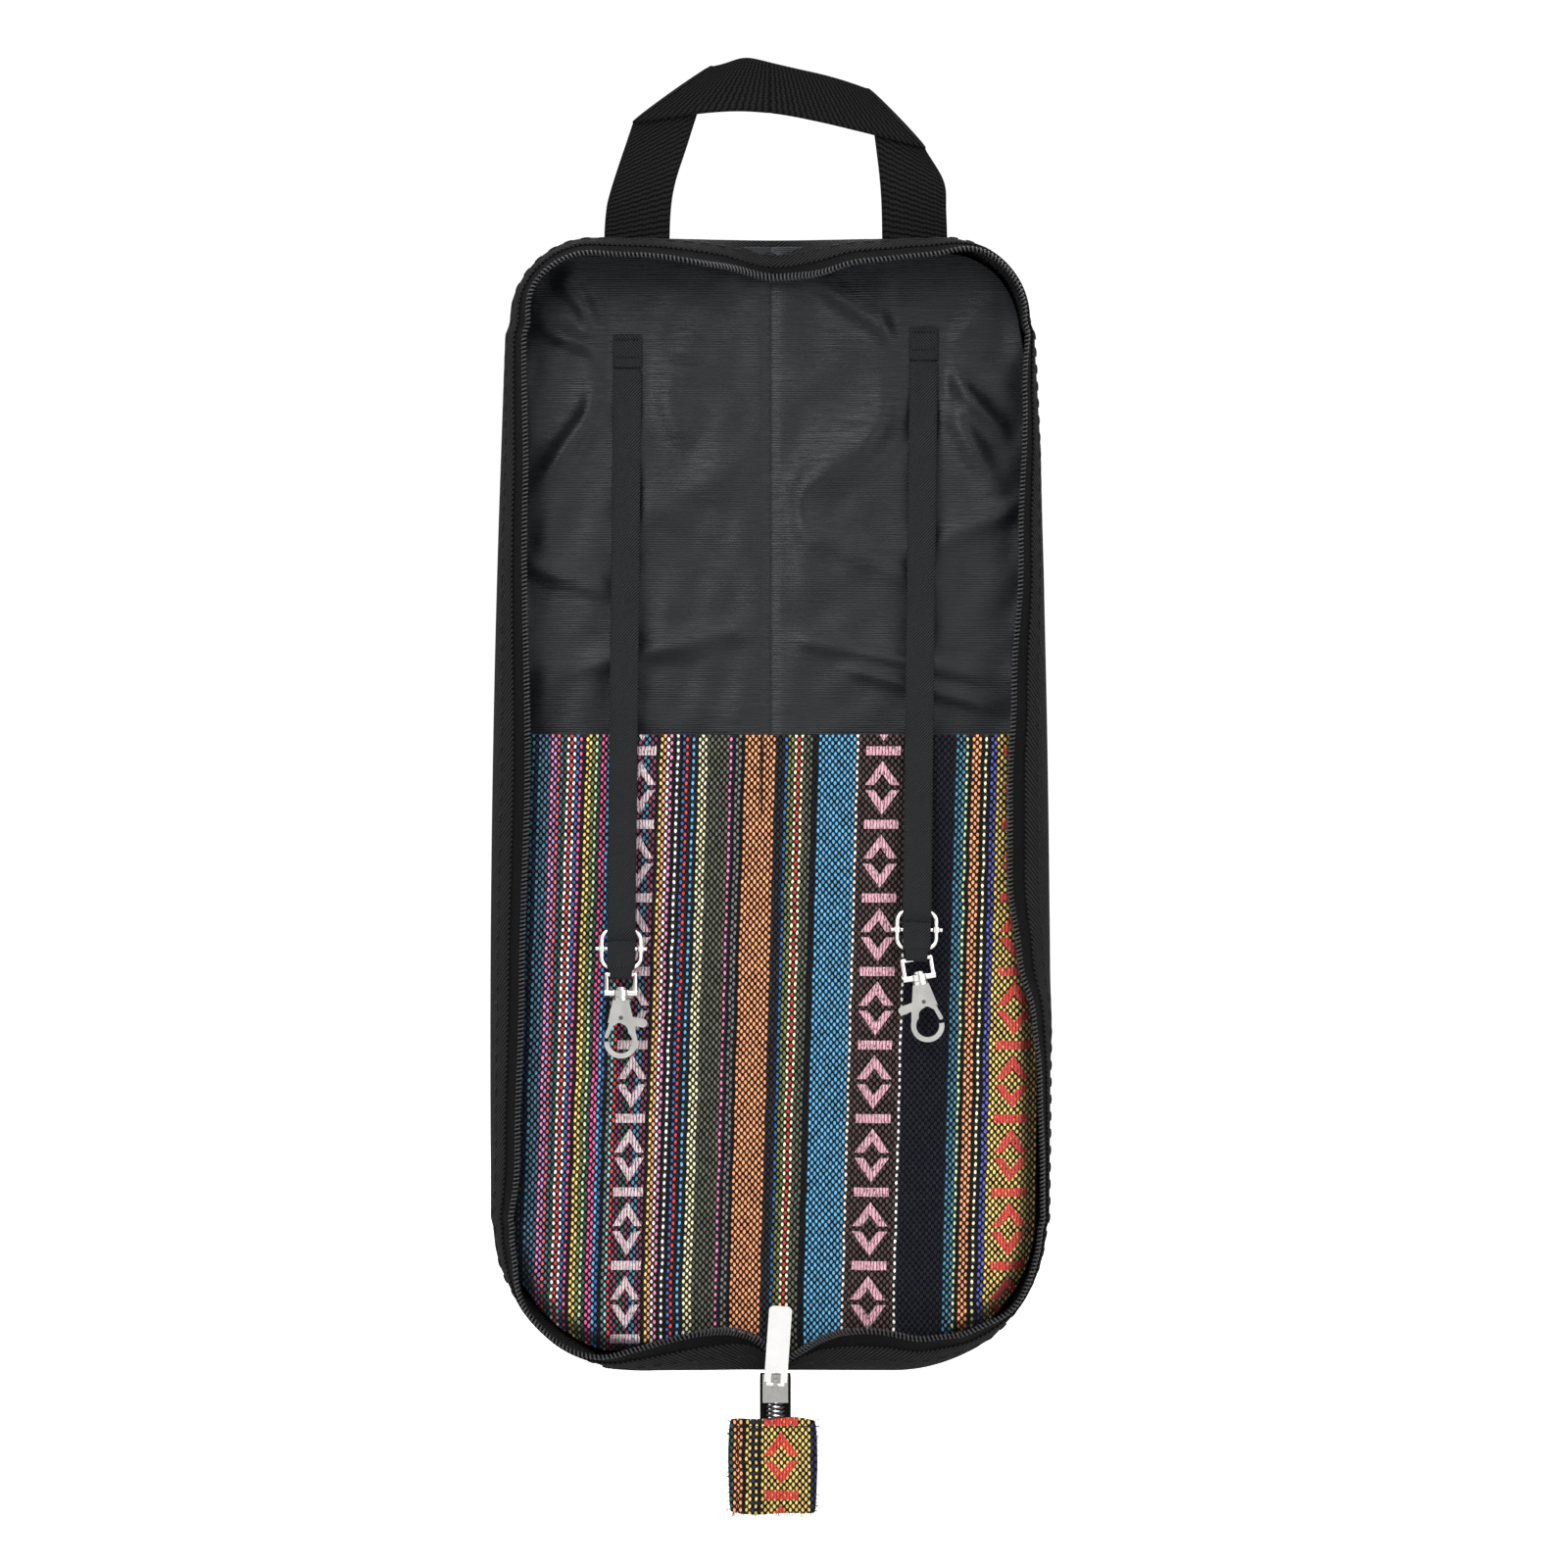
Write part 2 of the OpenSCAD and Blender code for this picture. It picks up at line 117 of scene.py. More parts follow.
def values_at(t, s, values):
    """The rows of values that belong to the distances s, read off at the distances t."""
    return np.stack([np.interp(t, s, column) for column in values.T], 1)


def along(points, count, return_length=False):
    """The same line with count evenly spaced points."""
    points = np.asarray(points, float)
    s = distances(points)
    t = np.linspace(0, s[-1], count)
    line = values_at(t, s, points)
    return (line, t) if return_length else line


def curve_through(points, count):
    """A smooth line through a few points, with count evenly spaced points."""
    p = np.asarray(points, float)
    p = np.vstack([2 * p[0] - p[1], p, 2 * p[-1] - p[-2]])
    out = []
    for a, b, c, d in zip(p, p[1:], p[2:], p[3:]):
        for t in np.linspace(0, 1, 24, endpoint=False):
            out.append(0.5 * (2 * b + (c - a) * t + (2 * a - 5 * b + 4 * c - d) * t**2
                              + (3 * b - a - 3 * c + d) * t**3))
    return along(np.vstack([out, p[-2]]), count)


def steady(pairs, at):
    """A smooth curve through (place, value) pairs, without overshoot."""
    x, y = np.array(pairs, float).T
    i = np.clip(np.searchsorted(x, at, side="right") - 1, 0, len(x) - 2)
    t = np.clip((at - x[i]) / (x[i + 1] - x[i]), 0, 1)
    return y[i] + (y[i + 1] - y[i]) * t * t * (3 - 2 * t)


def unit(v):
    return v / np.maximum(np.linalg.norm(v, axis=-1, keepdims=True), 1e-12)


def averaged(values, reach):
    """Each value averaged with its neighbours, up to reach places away."""
    count = 2 * reach + 1
    return np.convolve(np.pad(values, reach, mode="edge"), np.ones(count) / count, "valid")


# ---- Mesh building ----

# How far the middle of a sheet's rim bulges, as a share of the sheet's thickness
RIM_BULGE = 0.35


def upright(x, y, z):
    """Points from their three coordinates; any of them may be one number for all."""
    return np.stack(np.broadcast_arrays(x, y, z), -1).astype(float)


def uv_grid(down, across):
    """Cloth places of a grid of points, from distances down its rows and along them."""
    return np.stack(np.meshgrid(down, across, indexing="ij"), -1)


def make_object(name, points, faces, uv, material):
    """A mesh object from points in millimetres; uv holds one pair of millimetres for each point."""
    mesh = bpy.data.meshes.new(name)
    mesh.from_pydata((np.asarray(points) * MM).tolist(), [], [list(map(int, f)) for f in faces])
    layer = mesh.uv_layers.new(name="cloth")
    loops = np.zeros(len(mesh.loops), np.int32)
    mesh.loops.foreach_get("vertex_index", loops)
    layer.data.foreach_set("uv", np.asarray(uv, np.float32)[loops].ravel())
    mesh.materials.append(material)
    mesh.polygons.foreach_set("use_smooth", [True] * len(mesh.polygons))
    mesh.validate()
    mesh.update()
    obj = bpy.data.objects.new(name, mesh)
    bpy.context.scene.collection.objects.link(obj)
    return obj


def grid_faces(rows, columns, start=0, flip=False, wrap=False):
    faces = []
    last = columns if wrap else columns - 1
    for i in range(rows - 1):
        for k in range(last):
            a, b = start + i * columns + k, start + i * columns + (k + 1) % columns
            c, d = b + columns, a + columns
            faces.append((d, c, b, a) if flip else (a, b, c, d))
    return faces


def grid_normals(grid):
    return unit(np.cross(np.gradient(grid, axis=0), np.gradient(grid, axis=1)))


def rim(rows, columns):
    """Indices round the edge of a grid, in order."""
    top = list(range(columns))
    right = [i * columns + columns - 1 for i in range(1, rows)]
    bottom = [(rows - 1) * columns + k for k in range(columns - 2, -1, -1)]
    left = [i * columns for i in range(rows - 2, 0, -1)]
    return np.array(top + right + bottom + left)


def slab(name, front, back, uv, material):
    """A closed sheet between two grids of points, with a rounded rim."""
    rows, columns = front.shape[:2]
    count = rows * columns
    edge = rim(rows, columns)
    near = front.reshape(-1, 3)[edge]
    far = back.reshape(-1, 3)[edge]
    inner_rows = np.clip(edge // columns, 1, rows - 2)
    inner_columns = np.clip(edge % columns, 1, columns - 2)
    inner = ((front + back) / 2)[inner_rows, inner_columns]
    middle = (near + far) / 2
    bulge = RIM_BULGE * np.linalg.norm(near - far, axis=1)
    middle = middle + unit(middle - inner) * bulge[:, None]
    points = np.vstack([front.reshape(-1, 3), back.reshape(-1, 3), middle])
    faces = grid_faces(rows, columns) + grid_faces(rows, columns, count, flip=True)
    for n, a in enumerate(edge):
        m = (n + 1) % len(edge)
        b = edge[m]
        faces += [(b, a, 2 * count + n, 2 * count + m)]
        faces += [(2 * count + m, 2 * count + n, count + a, count + b)]
    flat = uv.reshape(-1, 2)
    return make_object(name, points, faces, np.vstack([flat, flat, flat[edge]]), material)


def thick_sheet(name, grid, thickness, uv, material):
    half = grid_normals(grid) * thickness / 2
    return slab(name, grid + half, grid - half, uv, material)


def frames_along(line, up):
    """Unit tangents, and two unit directions square to them, the first as near to up as it can be."""
    tangent = unit(np.gradient(line, axis=0))
    up = np.broadcast_to(np.asarray(up, float), tangent.shape)
    side = unit(up - (up * tangent).sum(1, keepdims=True) * tangent)
    return tangent, side, np.cross(tangent, side)


def tube_parts(line, radius, sides, up=(0.12, 0.31, 0.94)):
    """Points and faces of a closed tube along a line."""
    _, a, b = frames_along(line, up)
    angle = np.linspace(0, 2 * math.pi, sides, endpoint=False)[None, :, None]
    ring = (a[:, None] * np.cos(angle) + b[:, None] * np.sin(angle)) * radius
    points = (line[:, None] + ring).reshape(-1, 3)
    faces = grid_faces(len(line), sides, wrap=True)
    points = np.vstack([points, line[:1], line[-1:]])
    first, last = len(points) - 2, len(points) - 1
    start = (len(line) - 1) * sides
    faces += [(first, (k + 1) % sides, k) for k in range(sides)]
    faces += [(last, start + k, start + (k + 1) % sides) for k in range(sides)]
    return points, faces


def tubes(name, lines, radius, sides, material):
    """Closed tubes along several lines, as one object."""
    points, faces, offset = [], [], 0
    for line in lines:
        tube, tube_faces = tube_parts(line, radius, sides)
        points.append(tube)
        faces += [tuple(i + offset for i in face) for face in tube_faces]
        offset += len(tube)
    points = np.vstack(points)
    return make_object(name, points, faces, points[:, [0, 2]], material)


def thread_stitches(name, places, directions, length, lift, radius):
    """A row of short arched stitches, each centred on a place and running along a direction."""
    t = np.linspace(-1, 1, 5)[:, None]
    arch = 0.22 * (1 - t * t) - 0.05
    directions = np.broadcast_to(directions, places.shape)
    lift = np.broadcast_to(lift, places.shape)
    lines = [p + d * t * length / 2 + n * arch for p, d, n in zip(places, directions, lift)]
    return tubes(name, lines, radius, 5, look["thread"])


# ---- Node materials ----

def fill(tree, node, inputs):
    """Sets a node's inputs, by name or number, to plain values or links them to sockets or Nums."""
    for key, value in inputs.items():
        if isinstance(value, Num):
            value = value.socket
        if isinstance(value, bpy.types.NodeSocket):
            tree.links.new(value, node.inputs[key])
        else:
            node.inputs[key].default_value = value


def add_node(tree, kind, inputs=None, **settings):
    node = tree.nodes.new("ShaderNode" + kind)
    for name, value in settings.items():
        setattr(node, name, value)
    fill(tree, node, inputs or {})
    return node


class Num:
    """A number inside a node material; arithmetic on it adds maths nodes."""

    def __init__(self, tree, socket):
        self.tree = tree
        self.socket = socket

    def math(self, operation, *others):
        inputs = dict(enumerate((self,) + others))
        return Num(self.tree, add_node(self.tree, "Math", inputs, operation=operation).outputs[0])

    def __add__(self, other):
        return self.math("ADD", other)

    def __sub__(self, other):
        return self.math("SUBTRACT", other)

    def __mul__(self, other):
        return self.math("MULTIPLY", other)

    def __truediv__(self, other):
        return self.math("DIVIDE", other)

    def floor(self):
        return self.math("FLOOR")

    def fract(self):
        return self.math("FRACT")

    def size(self):
        return self.math("ABSOLUTE")

    def above(self, other):
        return self.math("GREATER_THAN", other)

    def below(self, other):
        return self.math("LESS_THAN", other)

    def most(self, other):
        return self.math("MAXIMUM", other)

    def wave(self):
        return self.math("SINE")

    def rise(self, lo, hi, from_value=0.0, to_value=1.0):
        inputs = {"Value": self, "From Min": lo, "From Max": hi, "To Min": from_value, "To Max": to_value}
        node = add_node(self.tree, "MapRange", inputs, interpolation_type="SMOOTHSTEP")
        return Num(self.tree, node.outputs[0])


def linear(colour):
    """A linear colour from the 0-255 values of a screen."""
    c = np.array(colour, float) / 255
    c = np.where(c <= 0.04045, c / 12.92, ((c + 0.055) / 1.055) ** 2.4)
    return (*c.tolist(), 1.0)


def new_material(name, roughness, colour, specular):
    m = bpy.data.materials.new(name)
    m.use_nodes = True
    shader = m.node_tree.nodes["Principled BSDF"]
    plain = {"Roughness": roughness, "Base Color": linear(colour), "Specular IOR Level": specular}
    fill(m.node_tree, shader, plain)
    return m, m.node_tree, shader


def split(tree, vector):
    return [Num(tree, part) for part in add_node(tree, "SeparateXYZ", {0: vector}).outputs]


def cloth_uv(tree):
    return split(tree, add_node(tree, "UVMap", uv_map="cloth").outputs[0])[:2]


def noise(tree, u, v, detail=2.0):
    vector = add_node(tree, "CombineXYZ", {0: u, 1: v}).outputs[0]
    node = add_node(tree, "TexNoise", {"Vector": vector, "Scale": 1.0, "Detail": detail})
    return Num(tree, node.outputs[0])


def object_noise(tree, scale, detail=3.0):
    place = add_node(tree, "TexCoord").outputs["Object"]
    node = add_node(tree, "TexNoise", {"Vector": place, "Scale": scale, "Detail": detail})
    return Num(tree, node.outputs[0])


def cell_noise(tree, u, v):
    vector = add_node(tree, "CombineXYZ", {0: u, 1: v}).outputs[0]
    node = add_node(tree, "TexWhiteNoise", {"Vector": vector}, noise_dimensions="2D")
    return Num(tree, node.outputs["Value"])


def mix(tree, factor, a, b):
    """A colour between a and b, each a socket or a 0-255 colour."""
    a, b = (linear(colour) if isinstance(colour, tuple) else colour for colour in (a, b))
    return add_node(tree, "Mix", {0: factor, 6: a, 7: b}, data_type="RGBA").outputs[2]


def scaled(tree, colour, factor):
    return add_node(tree, "VectorMath", {0: colour, "Scale": factor}, operation="SCALE").outputs[0]


def finish(tree, shader, colour, height, millimetres, **inputs):
    """Gives a shader its colour, its surface relief and any other inputs."""
    relief = add_node(tree, "Bump", {"Height": height, "Distance": millimetres * MM, "Strength": 1.0})
    fill(tree, shader, {"Base Color": colour, "Normal": relief.outputs[0]})
    fill(tree, shader, {name.replace("_", " "): value for name, value in inputs.items()})


# The woven pattern: the width of a column of yarn, and the length of one stitch of it, in millimetres
COLUMN = 1.22
PICK = 2.87
YARN = {
    "teal": (78, 134, 160), "navy": (42, 52, 84), "slate": (90, 110, 134), "pink": (236, 140, 188),
    "lavender": (172, 148, 206), "coral": (234, 104, 104), "pine": (60, 96, 80), "white": (248, 243, 238),
    "red": (226, 74, 74), "blue": (66, 112, 176), "magenta": (238, 104, 160), "dark": (38, 34, 42),
    "yellow": (244, 212, 124), "olive": (130, 138, 84), "mint": (196, 222, 174), "sky": (104, 182, 228),
    "black": (26, 26, 28), "grey": (126, 128, 126), "aqua": (128, 204, 204), "orange": (255, 172, 122),
    "cream": (244, 240, 194), "moss": (106, 109, 92), "coal": (50, 51, 54), "ink": (28, 30, 44),
    "indigo": (98, 104, 182), "brown": (88, 70, 66), "plum": (132, 72, 98),
}


def plan(words):
    """Names of yarns, each with how many columns it runs for, from words such as red or sky*12."""
    pairs = [word.partition("*") for word in words.split()]
    return [(name, int(count or 1)) for name, _, count in pairs]


STRIPES = plan(
    "teal navy teal slate teal slate pink lavender coral slate pine white red white blue magenta dark "
    "yellow*2 olive mint pine magenta*2 sky blue black grey aqua red plum*2 pine*2 plum*2 teal*2 plum*2 "
    "dark yellow orange white pink black white black blue red dark sky dark cream*3 moss*7 pink dark "
    "grey*2 black orange*10 coal*3 blue olive*2 cream red cream moss*3 black*2 sky*12 white brown*15 "
    "white ink*15 teal*3 mint black orange*3 black cream black indigo*2 yellow*22")
# How many stops go into one colour ramp, which can hold 32
RAMP_STOPS = 30
# Where the first stripe starts, how often the figures repeat, and the height of one of their bars
STRIPE_START = -92.8
FIGURE_PERIOD = 28.8
FIGURE_Z = -7.5
# Middle, half width and colour of each column of figures
FIGURES = [(-50.1, 5.8, (244, 222, 226)), (44.4, 6.7, (246, 190, 206)), (98.3, 6.9, (240, 74, 70))]


def stripe_colour(tree, column, stripes):
    """The yarn colour of a column, from as many stepped ramps as the stripes need."""
    chosen = None
    start = 0
    for first in range(0, len(stripes), RAMP_STOPS):
        part = stripes[first:first + RAMP_STOPS]
        length = sum(count for _, count in part)
        ramp = add_node(tree, "ValToRGB", {0: (column - start + 0.5) / length})
        ramp.color_ramp.interpolation = "CONSTANT"
        stops = ramp.color_ramp.elements
        place = 0
        for i, (name, count) in enumerate(part):
            stop = stops[i] if i < 2 else stops.new(place / length)
            stop.position = place / length
            stop.color = linear(YARN[name])
            place += count
        if chosen is None:
            chosen = ramp.outputs[0]
        else:
            chosen = mix(tree, column.above(start - 0.5), chosen, ramp.outputs[0])
        start += length
    return chosen


def figure_mask(u, v, middle, half_width, bar_z):
    """Two facing chevrons that make a diamond, and a short bar between one diamond and the next."""
    across = ((u - middle) / half_width).size()
    step = ((v - bar_z) / FIGURE_PERIOD).fract() * FIGURE_PERIOD
    up = ((step - FIGURE_PERIOD / 2) / 10.2).size()
    ring = (((across * 0.94 + up) - 0.78).size()).below(0.25) * up.above(0.1)
    middle_bar = ((step - FIGURE_PERIOD / 2).size()).above(FIGURE_PERIOD / 2 - 1.75)
    return ring.most(middle_bar) * across.below(1.0)


def woven(name, stripes, start, figures, bar_z=FIGURE_Z):
    """Bright warp yarns that show as staggered dots on a near-black weft, with woven figures; each dot
    darkens toward its rim in painted shade.
    """
    m, tree, shader = new_material(name, 0.92, (40, 40, 40), 0.08)
    u, v = cloth_uv(tree)
    waver = (noise(tree, u * 0.05, v * 0.11) - 0.5) * 1.3
    u = u + waver
    column = ((u - start) / COLUMN).floor()
    in_column = ((u - start) / COLUMN).fract()
    pick = v / PICK + column * 0.5 + (noise(tree, u * 0.7, v * 0.3) - 0.5) * 0.22
    in_pick = pick.fract()
    shade = cell_noise(tree, column, pick.floor())
    wide = (in_column - 0.5) * 2.0
    tall = (in_pick - 0.5) * 3.1
    # The yarn dot and its painted shade: its colour fades into the near-black weft toward its rim, shading
    # the raised yarn there; the same mask gives its bump.
    dot_and_rim_shade = (wide * wide + tall * tall).rise(0.52, 0.92, 1.0, 0.0)
    yarn = stripe_colour(tree, column, stripes)
    weft = mix(tree, shade * 0.06, (3, 3, 5), yarn)
    yarn = scaled(tree, yarn, shade * 0.5 + 0.86)
    colour = mix(tree, dot_and_rim_shade, weft, yarn)
    height = dot_and_rim_shade
    for middle, half_width, figure_colour in figures:
        mask = figure_mask(u, v, middle, half_width, bar_z)
        dash = (wide * wide).rise(0.5, 1.0, 1.0, 0.0) * noise(tree, u * 2.2, v * 0.6).rise(0.33, 0.47)
        thread = mix(tree, shade * 0.3, figure_colour, (150, 90, 100))
        colour = mix(tree, mask * dash, colour, thread)
        height = height.most(mask * dash * 1.25)
    fuzz = noise(tree, u * 6.0, v * 6.0, 3.0)
    colour = scaled(tree, colour, fuzz * 0.9 + 0.58)
    finish(tree, shader, colour, height + fuzz * 0.25, 0.55, Sheen_Weight=0.12)
    return m


def striped_fabric():
    return woven("striped_fabric", STRIPES, STRIPE_START, FIGURES)


def tab_fabric():
    stripes = plan("cream*2 pine*2 orange*3 black yellow*2 navy yellow ink yellow*16 navy*2")
    return woven("end_tab_fabric", stripes, -19.5, [(4.3, 6.8, (244, 66, 58))], -271.0)


def satin():
    m, tree, shader = new_material("satin_lining", 0.34, (22, 24, 28), 0.3)
    u, v = cloth_uv(tree)
    thread = (v * 9.5 + (noise(tree, u * 0.05, v * 1.2) - 0.5) * 3).wave() * 0.5 + 0.5
    streak = noise(tree, u * 0.06, v * 1.8, 4.0)
    cloud = noise(tree, u * 0.02, v * 0.03, 2.0)
    colour = mix(tree, streak * 0.7 + cloud * 0.5 - 0.1, (2, 4, 8), (14, 18, 24))
    height = thread + streak * 1.8
    finish(tree, shader, colour, height, 0.09, Roughness=streak * 0.2 + 0.26, Sheen_Weight=0.05)
    return m


def twill(name, colour, light, spacing, slope, depth, roughness=0.82):
    """Black cloth with fine ribs that run across it at a slant."""
    m, tree, shader = new_material(name, roughness, colour, 0.06)
    u, v = cloth_uv(tree)
    rib = ((u + v * slope) / spacing).fract() - 0.5
    rib = (rib * rib).rise(0.02, 0.2, 1.0, 0.0)
    grain = noise(tree, u * 3.0, v * 3.0, 4.0)
    patch = noise(tree, u * 0.06, v * 0.06, 2.0)
    colour = mix(tree, rib * 0.8 + grain * 0.35 + patch * 0.2 - 0.25, colour, light)
    finish(tree, shader, colour, rib + grain * 0.6, depth, Sheen_Weight=0.02)
    return m


def webbing(name, spacing):
    """Ribbed webbing with ribs across it and a fine weave between them."""
    m, tree, shader = new_material(name, 0.75, (24, 24, 25), 0.06)
    u, v = cloth_uv(tree)
    rib = ((v + (u * 1.6).wave() * 0.16) / spacing).fract() - 0.5
    rib = (rib * rib).rise(0.0, 0.22, 1.0, 0.0)
    warp = (u * 4.2).wave() * 0.5 + 0.5
    grain = noise(tree, u * 2.5, v * 2.5, 3.0)
    colour = mix(tree, rib * 0.8 + warp * 0.2 + grain * 0.3 - 0.25, (1, 1, 2), (32, 32, 33))
    finish(tree, shader, colour, rib + warp * 0.4 + grain * 0.3, 0.34, Sheen_Weight=0.02)
    return m


def foam():
    m, tree, shader = new_material("foam_padding", 0.95, (205, 203, 196), 0.1)
    pores = object_noise(tree, 900, 4.0)
    finish(tree, shader, mix(tree, pores, (168, 166, 158), (218, 216, 210)), pores, 0.4)
    return m


def plastic(name, colour, light, roughness):
    m, tree, shader = new_material(name, roughness, colour, 0.45)
    fine = object_noise(tree, 700, 4.0)
    colour = mix(tree, fine, colour, light)
    finish(tree, shader, colour, fine, 0.03, Roughness=fine * 0.25 + roughness - 0.1)
    return m


def thread():
    m, tree, shader = new_material("sewing_thread", 0.7, (22, 22, 23), 0.3)
    fine = object_noise(tree, 1800, 2.0)
    finish(tree, shader, mix(tree, fine, (3, 3, 4), (14, 14, 15)), fine, 0.08)
    return m


def plated(name, colour, light, roughness):
    m, tree, shader = new_material(name, roughness, colour, 0.5)
    cloud = object_noise(tree, 160, 3.0)
    scratches = object_noise(tree, 900, 3.0)
    shine = cloud * 0.1 + scratches * 0.05 + roughness - 0.08
    finish(tree, shader, mix(tree, cloud, colour, light), scratches, 0.01, Roughness=shine, Metallic=1.0)
    return m


look = {
    "fabric": striped_fabric(),
    "tab": tab_fabric(),
    "foam": foam(),
    "satin": satin(),
    "binding": twill("black_binding", (1, 1, 2), (46, 46, 47), 2.0, 0.9, 0.6),
    "tape": twill("zipper_tape", (2, 2, 3), (16, 16, 17), 0.6, 1.0, 0.12, 0.7),
    "coil": plastic("zipper_coil", (30, 30, 32), (66, 66, 69), 0.34),
    "webbing": webbing("black_webbing", 2.0),
    "strap": twill("strap_tape", (16, 17, 18), (50, 51, 53), 1.2, 0.9, 0.25, 0.62),
    "thread": thread(),
    "stop": plastic("moulded_stop", (14, 14, 15), (26, 26, 28), 0.5),
    "nickel": plated("nickel_hardware", (236, 234, 230), (250, 249, 246), 0.16),
    "rivet": plated("dark_rivet", (84, 82, 80), (120, 118, 114), 0.3),
    "zipper_metal": plated("zipper_metal", (150, 149, 147), (186, 184, 181), 0.26),
    "pull": plated("zipper_pull_metal", (238, 237, 235), (250, 249, 247), 0.3),
}


def settle(obj, slot, *stands_for):
    """Hides the CAD nodes that a piece stands for."""
    if stands_for:
        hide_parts(*stands_for)


def ride(obj, body, slot, *stands_for):
    """Fixes a piece to one body."""
    settle(obj, slot, *stands_for)
    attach(obj, body)


def bend(obj, side, reach, slot, *stands_for):
    """Hides the CAD nodes that a piece stands for and bakes the piece's placement into its mesh."""
    settle(obj, slot, *stands_for)
    start, end = (SIGN[side] * distance * MM for distance in reach)
    side + "_cover"
    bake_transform(obj)


# ---- The bag's outline ----

def side_reach(z):
    """Distance from the middle to the outline's side at height z."""
    return HALF_W - SIDE_BOW * ((z - WIDEST_Z) / 290) ** 2


def half_width(z, inset):
    """Half the outline's width at height z, drawn in by an inset."""
    z = np.asarray(z, float)
    r = np.maximum(np.where(z > 0, TOP_R, BOTTOM_R) - inset, 3)
    end = HALF_H - inset
    into = np.clip(np.abs(z) - (end - r), 0, r)
    return side_reach(z) - inset - r + np.sqrt(np.maximum(r * r - into * into, 0))


def inset_of(x, z):
    """How far a point lies inside the outline."""
    r = np.where(z > 0, TOP_R, BOTTOM_R)
    dx = np.abs(x) - (side_reach(z) - r)
    dz = np.abs(z) - (HALF_H - r)
    outside = np.hypot(np.maximum(dx, 0), np.maximum(dz, 0))
    return r - outside - np.minimum(np.maximum(dx, dz), 0)


def outline(side, count):
    """The outline of one half from the top middle round to the bottom middle, with its inward normals."""
    top_x = side_reach(HALF_H) - TOP_R
    bottom_x = side_reach(-HALF_H) - BOTTOM_R
    arc = np.linspace(0, math.pi / 2, 30)
    points = [(x, HALF_H) for x in np.linspace(0, top_x, 20)]
    points += [(top_x + TOP_R * math.sin(a), HALF_H - TOP_R * (1 - math.cos(a))) for a in arc[1:]]
    points += [(side_reach(z), z) for z in np.linspace(HALF_H - TOP_R, BOTTOM_R - HALF_H, 80)[1:]]
    points += [(bottom_x + BOTTOM_R * math.cos(a), -HALF_H + BOTTOM_R * (1 - math.sin(a)))
               for a in arc[1:]]
    points += [(x, -HALF_H) for x in np.linspace(bottom_x, 0, 20)[1:]]
    line, s = along(points, count, return_length=True)
    tangent = unit(np.gradient(line, axis=0))
    tangent = unit(np.stack([averaged(column, 4) for column in tangent.T], 1))
    inward = np.stack([tangent[:, 1], -tangent[:, 0]], 1)
    line[:, 0] += SIGN[side] * TAIL_X * smooth(s, s[-1] - 40, s[-1])
    flip = np.array([SIGN[side], 1.0])
    return line * flip, inward * flip, s


# The wall's shape: how many places round each half, depths of the coil line, half the gap between both
# coils at the tail, how far the wall bows out, and the share of its height that the binding covers
WALL_COUNT = 340
TOP_COIL_DEPTH = 9
COIL_DEPTH = DEPTH - 1.2
COIL_GAP = 2.2
WALL_BOW = 2.4
SEAM = 0.74
# Distances in from the outline of the rows that bind the edge of the back
BACK_FLANGE = [9, 7, 4, 1.6]
# The coil's pitch, and half of its width and thickness
COIL_PITCH = 1.62
COIL_HALF_WIDE = 1.6
COIL_HALF_THICK = 0.75

# How far the open zipper's coil leans in over the bag, at distances along the outline from its top middle
COIL_INSET = {
    LEFT: [(0, 14.8), (18, 10.9), (52, 7.1), (81, 6), (105, 5.5), (122, 7.3), (188, 10.2), (303, 14),
           (380, 12.6), (449, 10.7), (487, 6.6), (512, 1.2), (534, 0.8), (548, 3.2), (560, 8.6),
           (571, 11.7), (584, 15), (592, 16.5), (603, 15.4), (611, 11.5), (615, 6.5), (618, 1.5)],
    RIGHT: [(0, 14.8), (17, 14.2), (36, 9.5), (63, 7), (87, 2), (111, 1.6), (150, 5), (212, 8.7), (265, 12.8),
            (303, 15.2), (341, 15.8), (372, 12), (392, 6.6), (418, 4.3), (457, 3), (485, 2.5), (510, 1.8),
            (529, 7), (550, 12), (574, 16.7), (583, 17), (592, 15.2), (601, 11), (609, 5), (618, 1.5)],
}


def wall_curves(side, count):
    """One half's standing wall: its foot, its coil line, the outline, the outward directions and the
    distances round the outline."""
    line, inward, s = outline(side, count)
    inset = averaged(steady(COIL_INSET[side], s), 3)
    from_tail = np.abs(line[:, 0] - TAIL_X)
    top_depth = TOP_COIL_DEPTH + (COIL_DEPTH - TOP_COIL_DEPTH) * smooth(np.abs(line[:, 0]), 0, 35)
    low_depth = TAIL_DEPTH + (COIL_DEPTH - TAIL_DEPTH) * smooth(from_tail, 3, 36)
    depth = np.where(line[:, 1] > 0, top_depth, low_depth)
    lean = np.clip(6 - inset, 0, 6) * smooth(depth, 8, 24)
    base = line + inward * lean[:, None]
    coil = line + inward * inset[:, None]
    past_tail = (coil[:, 1] < -200) & (SIGN[side] * (coil[:, 0] - TAIL_X) < COIL_GAP)
    coil[past_tail, 0] = TAIL_X + SIGN[side] * COIL_GAP
    outward = -upright(inward[:, 0], 0, inward[:, 1])
    return upright(base[:, 0], -1.5, base[:, 1]), upright(coil[:, 0], -depth, coil[:, 1]), line, outward, s


def wall_point(base, coil, outward, share):
    """A row of points part of the way up the wall, which bows outward a little."""
    chord = coil - base
    run = np.linalg.norm(chord[:, [0, 2]], axis=1)
    out = unit(outward * np.abs(chord[:, 1:2]) + FRONT * 0.4 * run[:, None])
    bow = WALL_BOW * 4 * share * (1 - share) * smooth(np.abs(chord[:, 1]), 5, 24)
    return base + chord * share + out * bow[:, None]


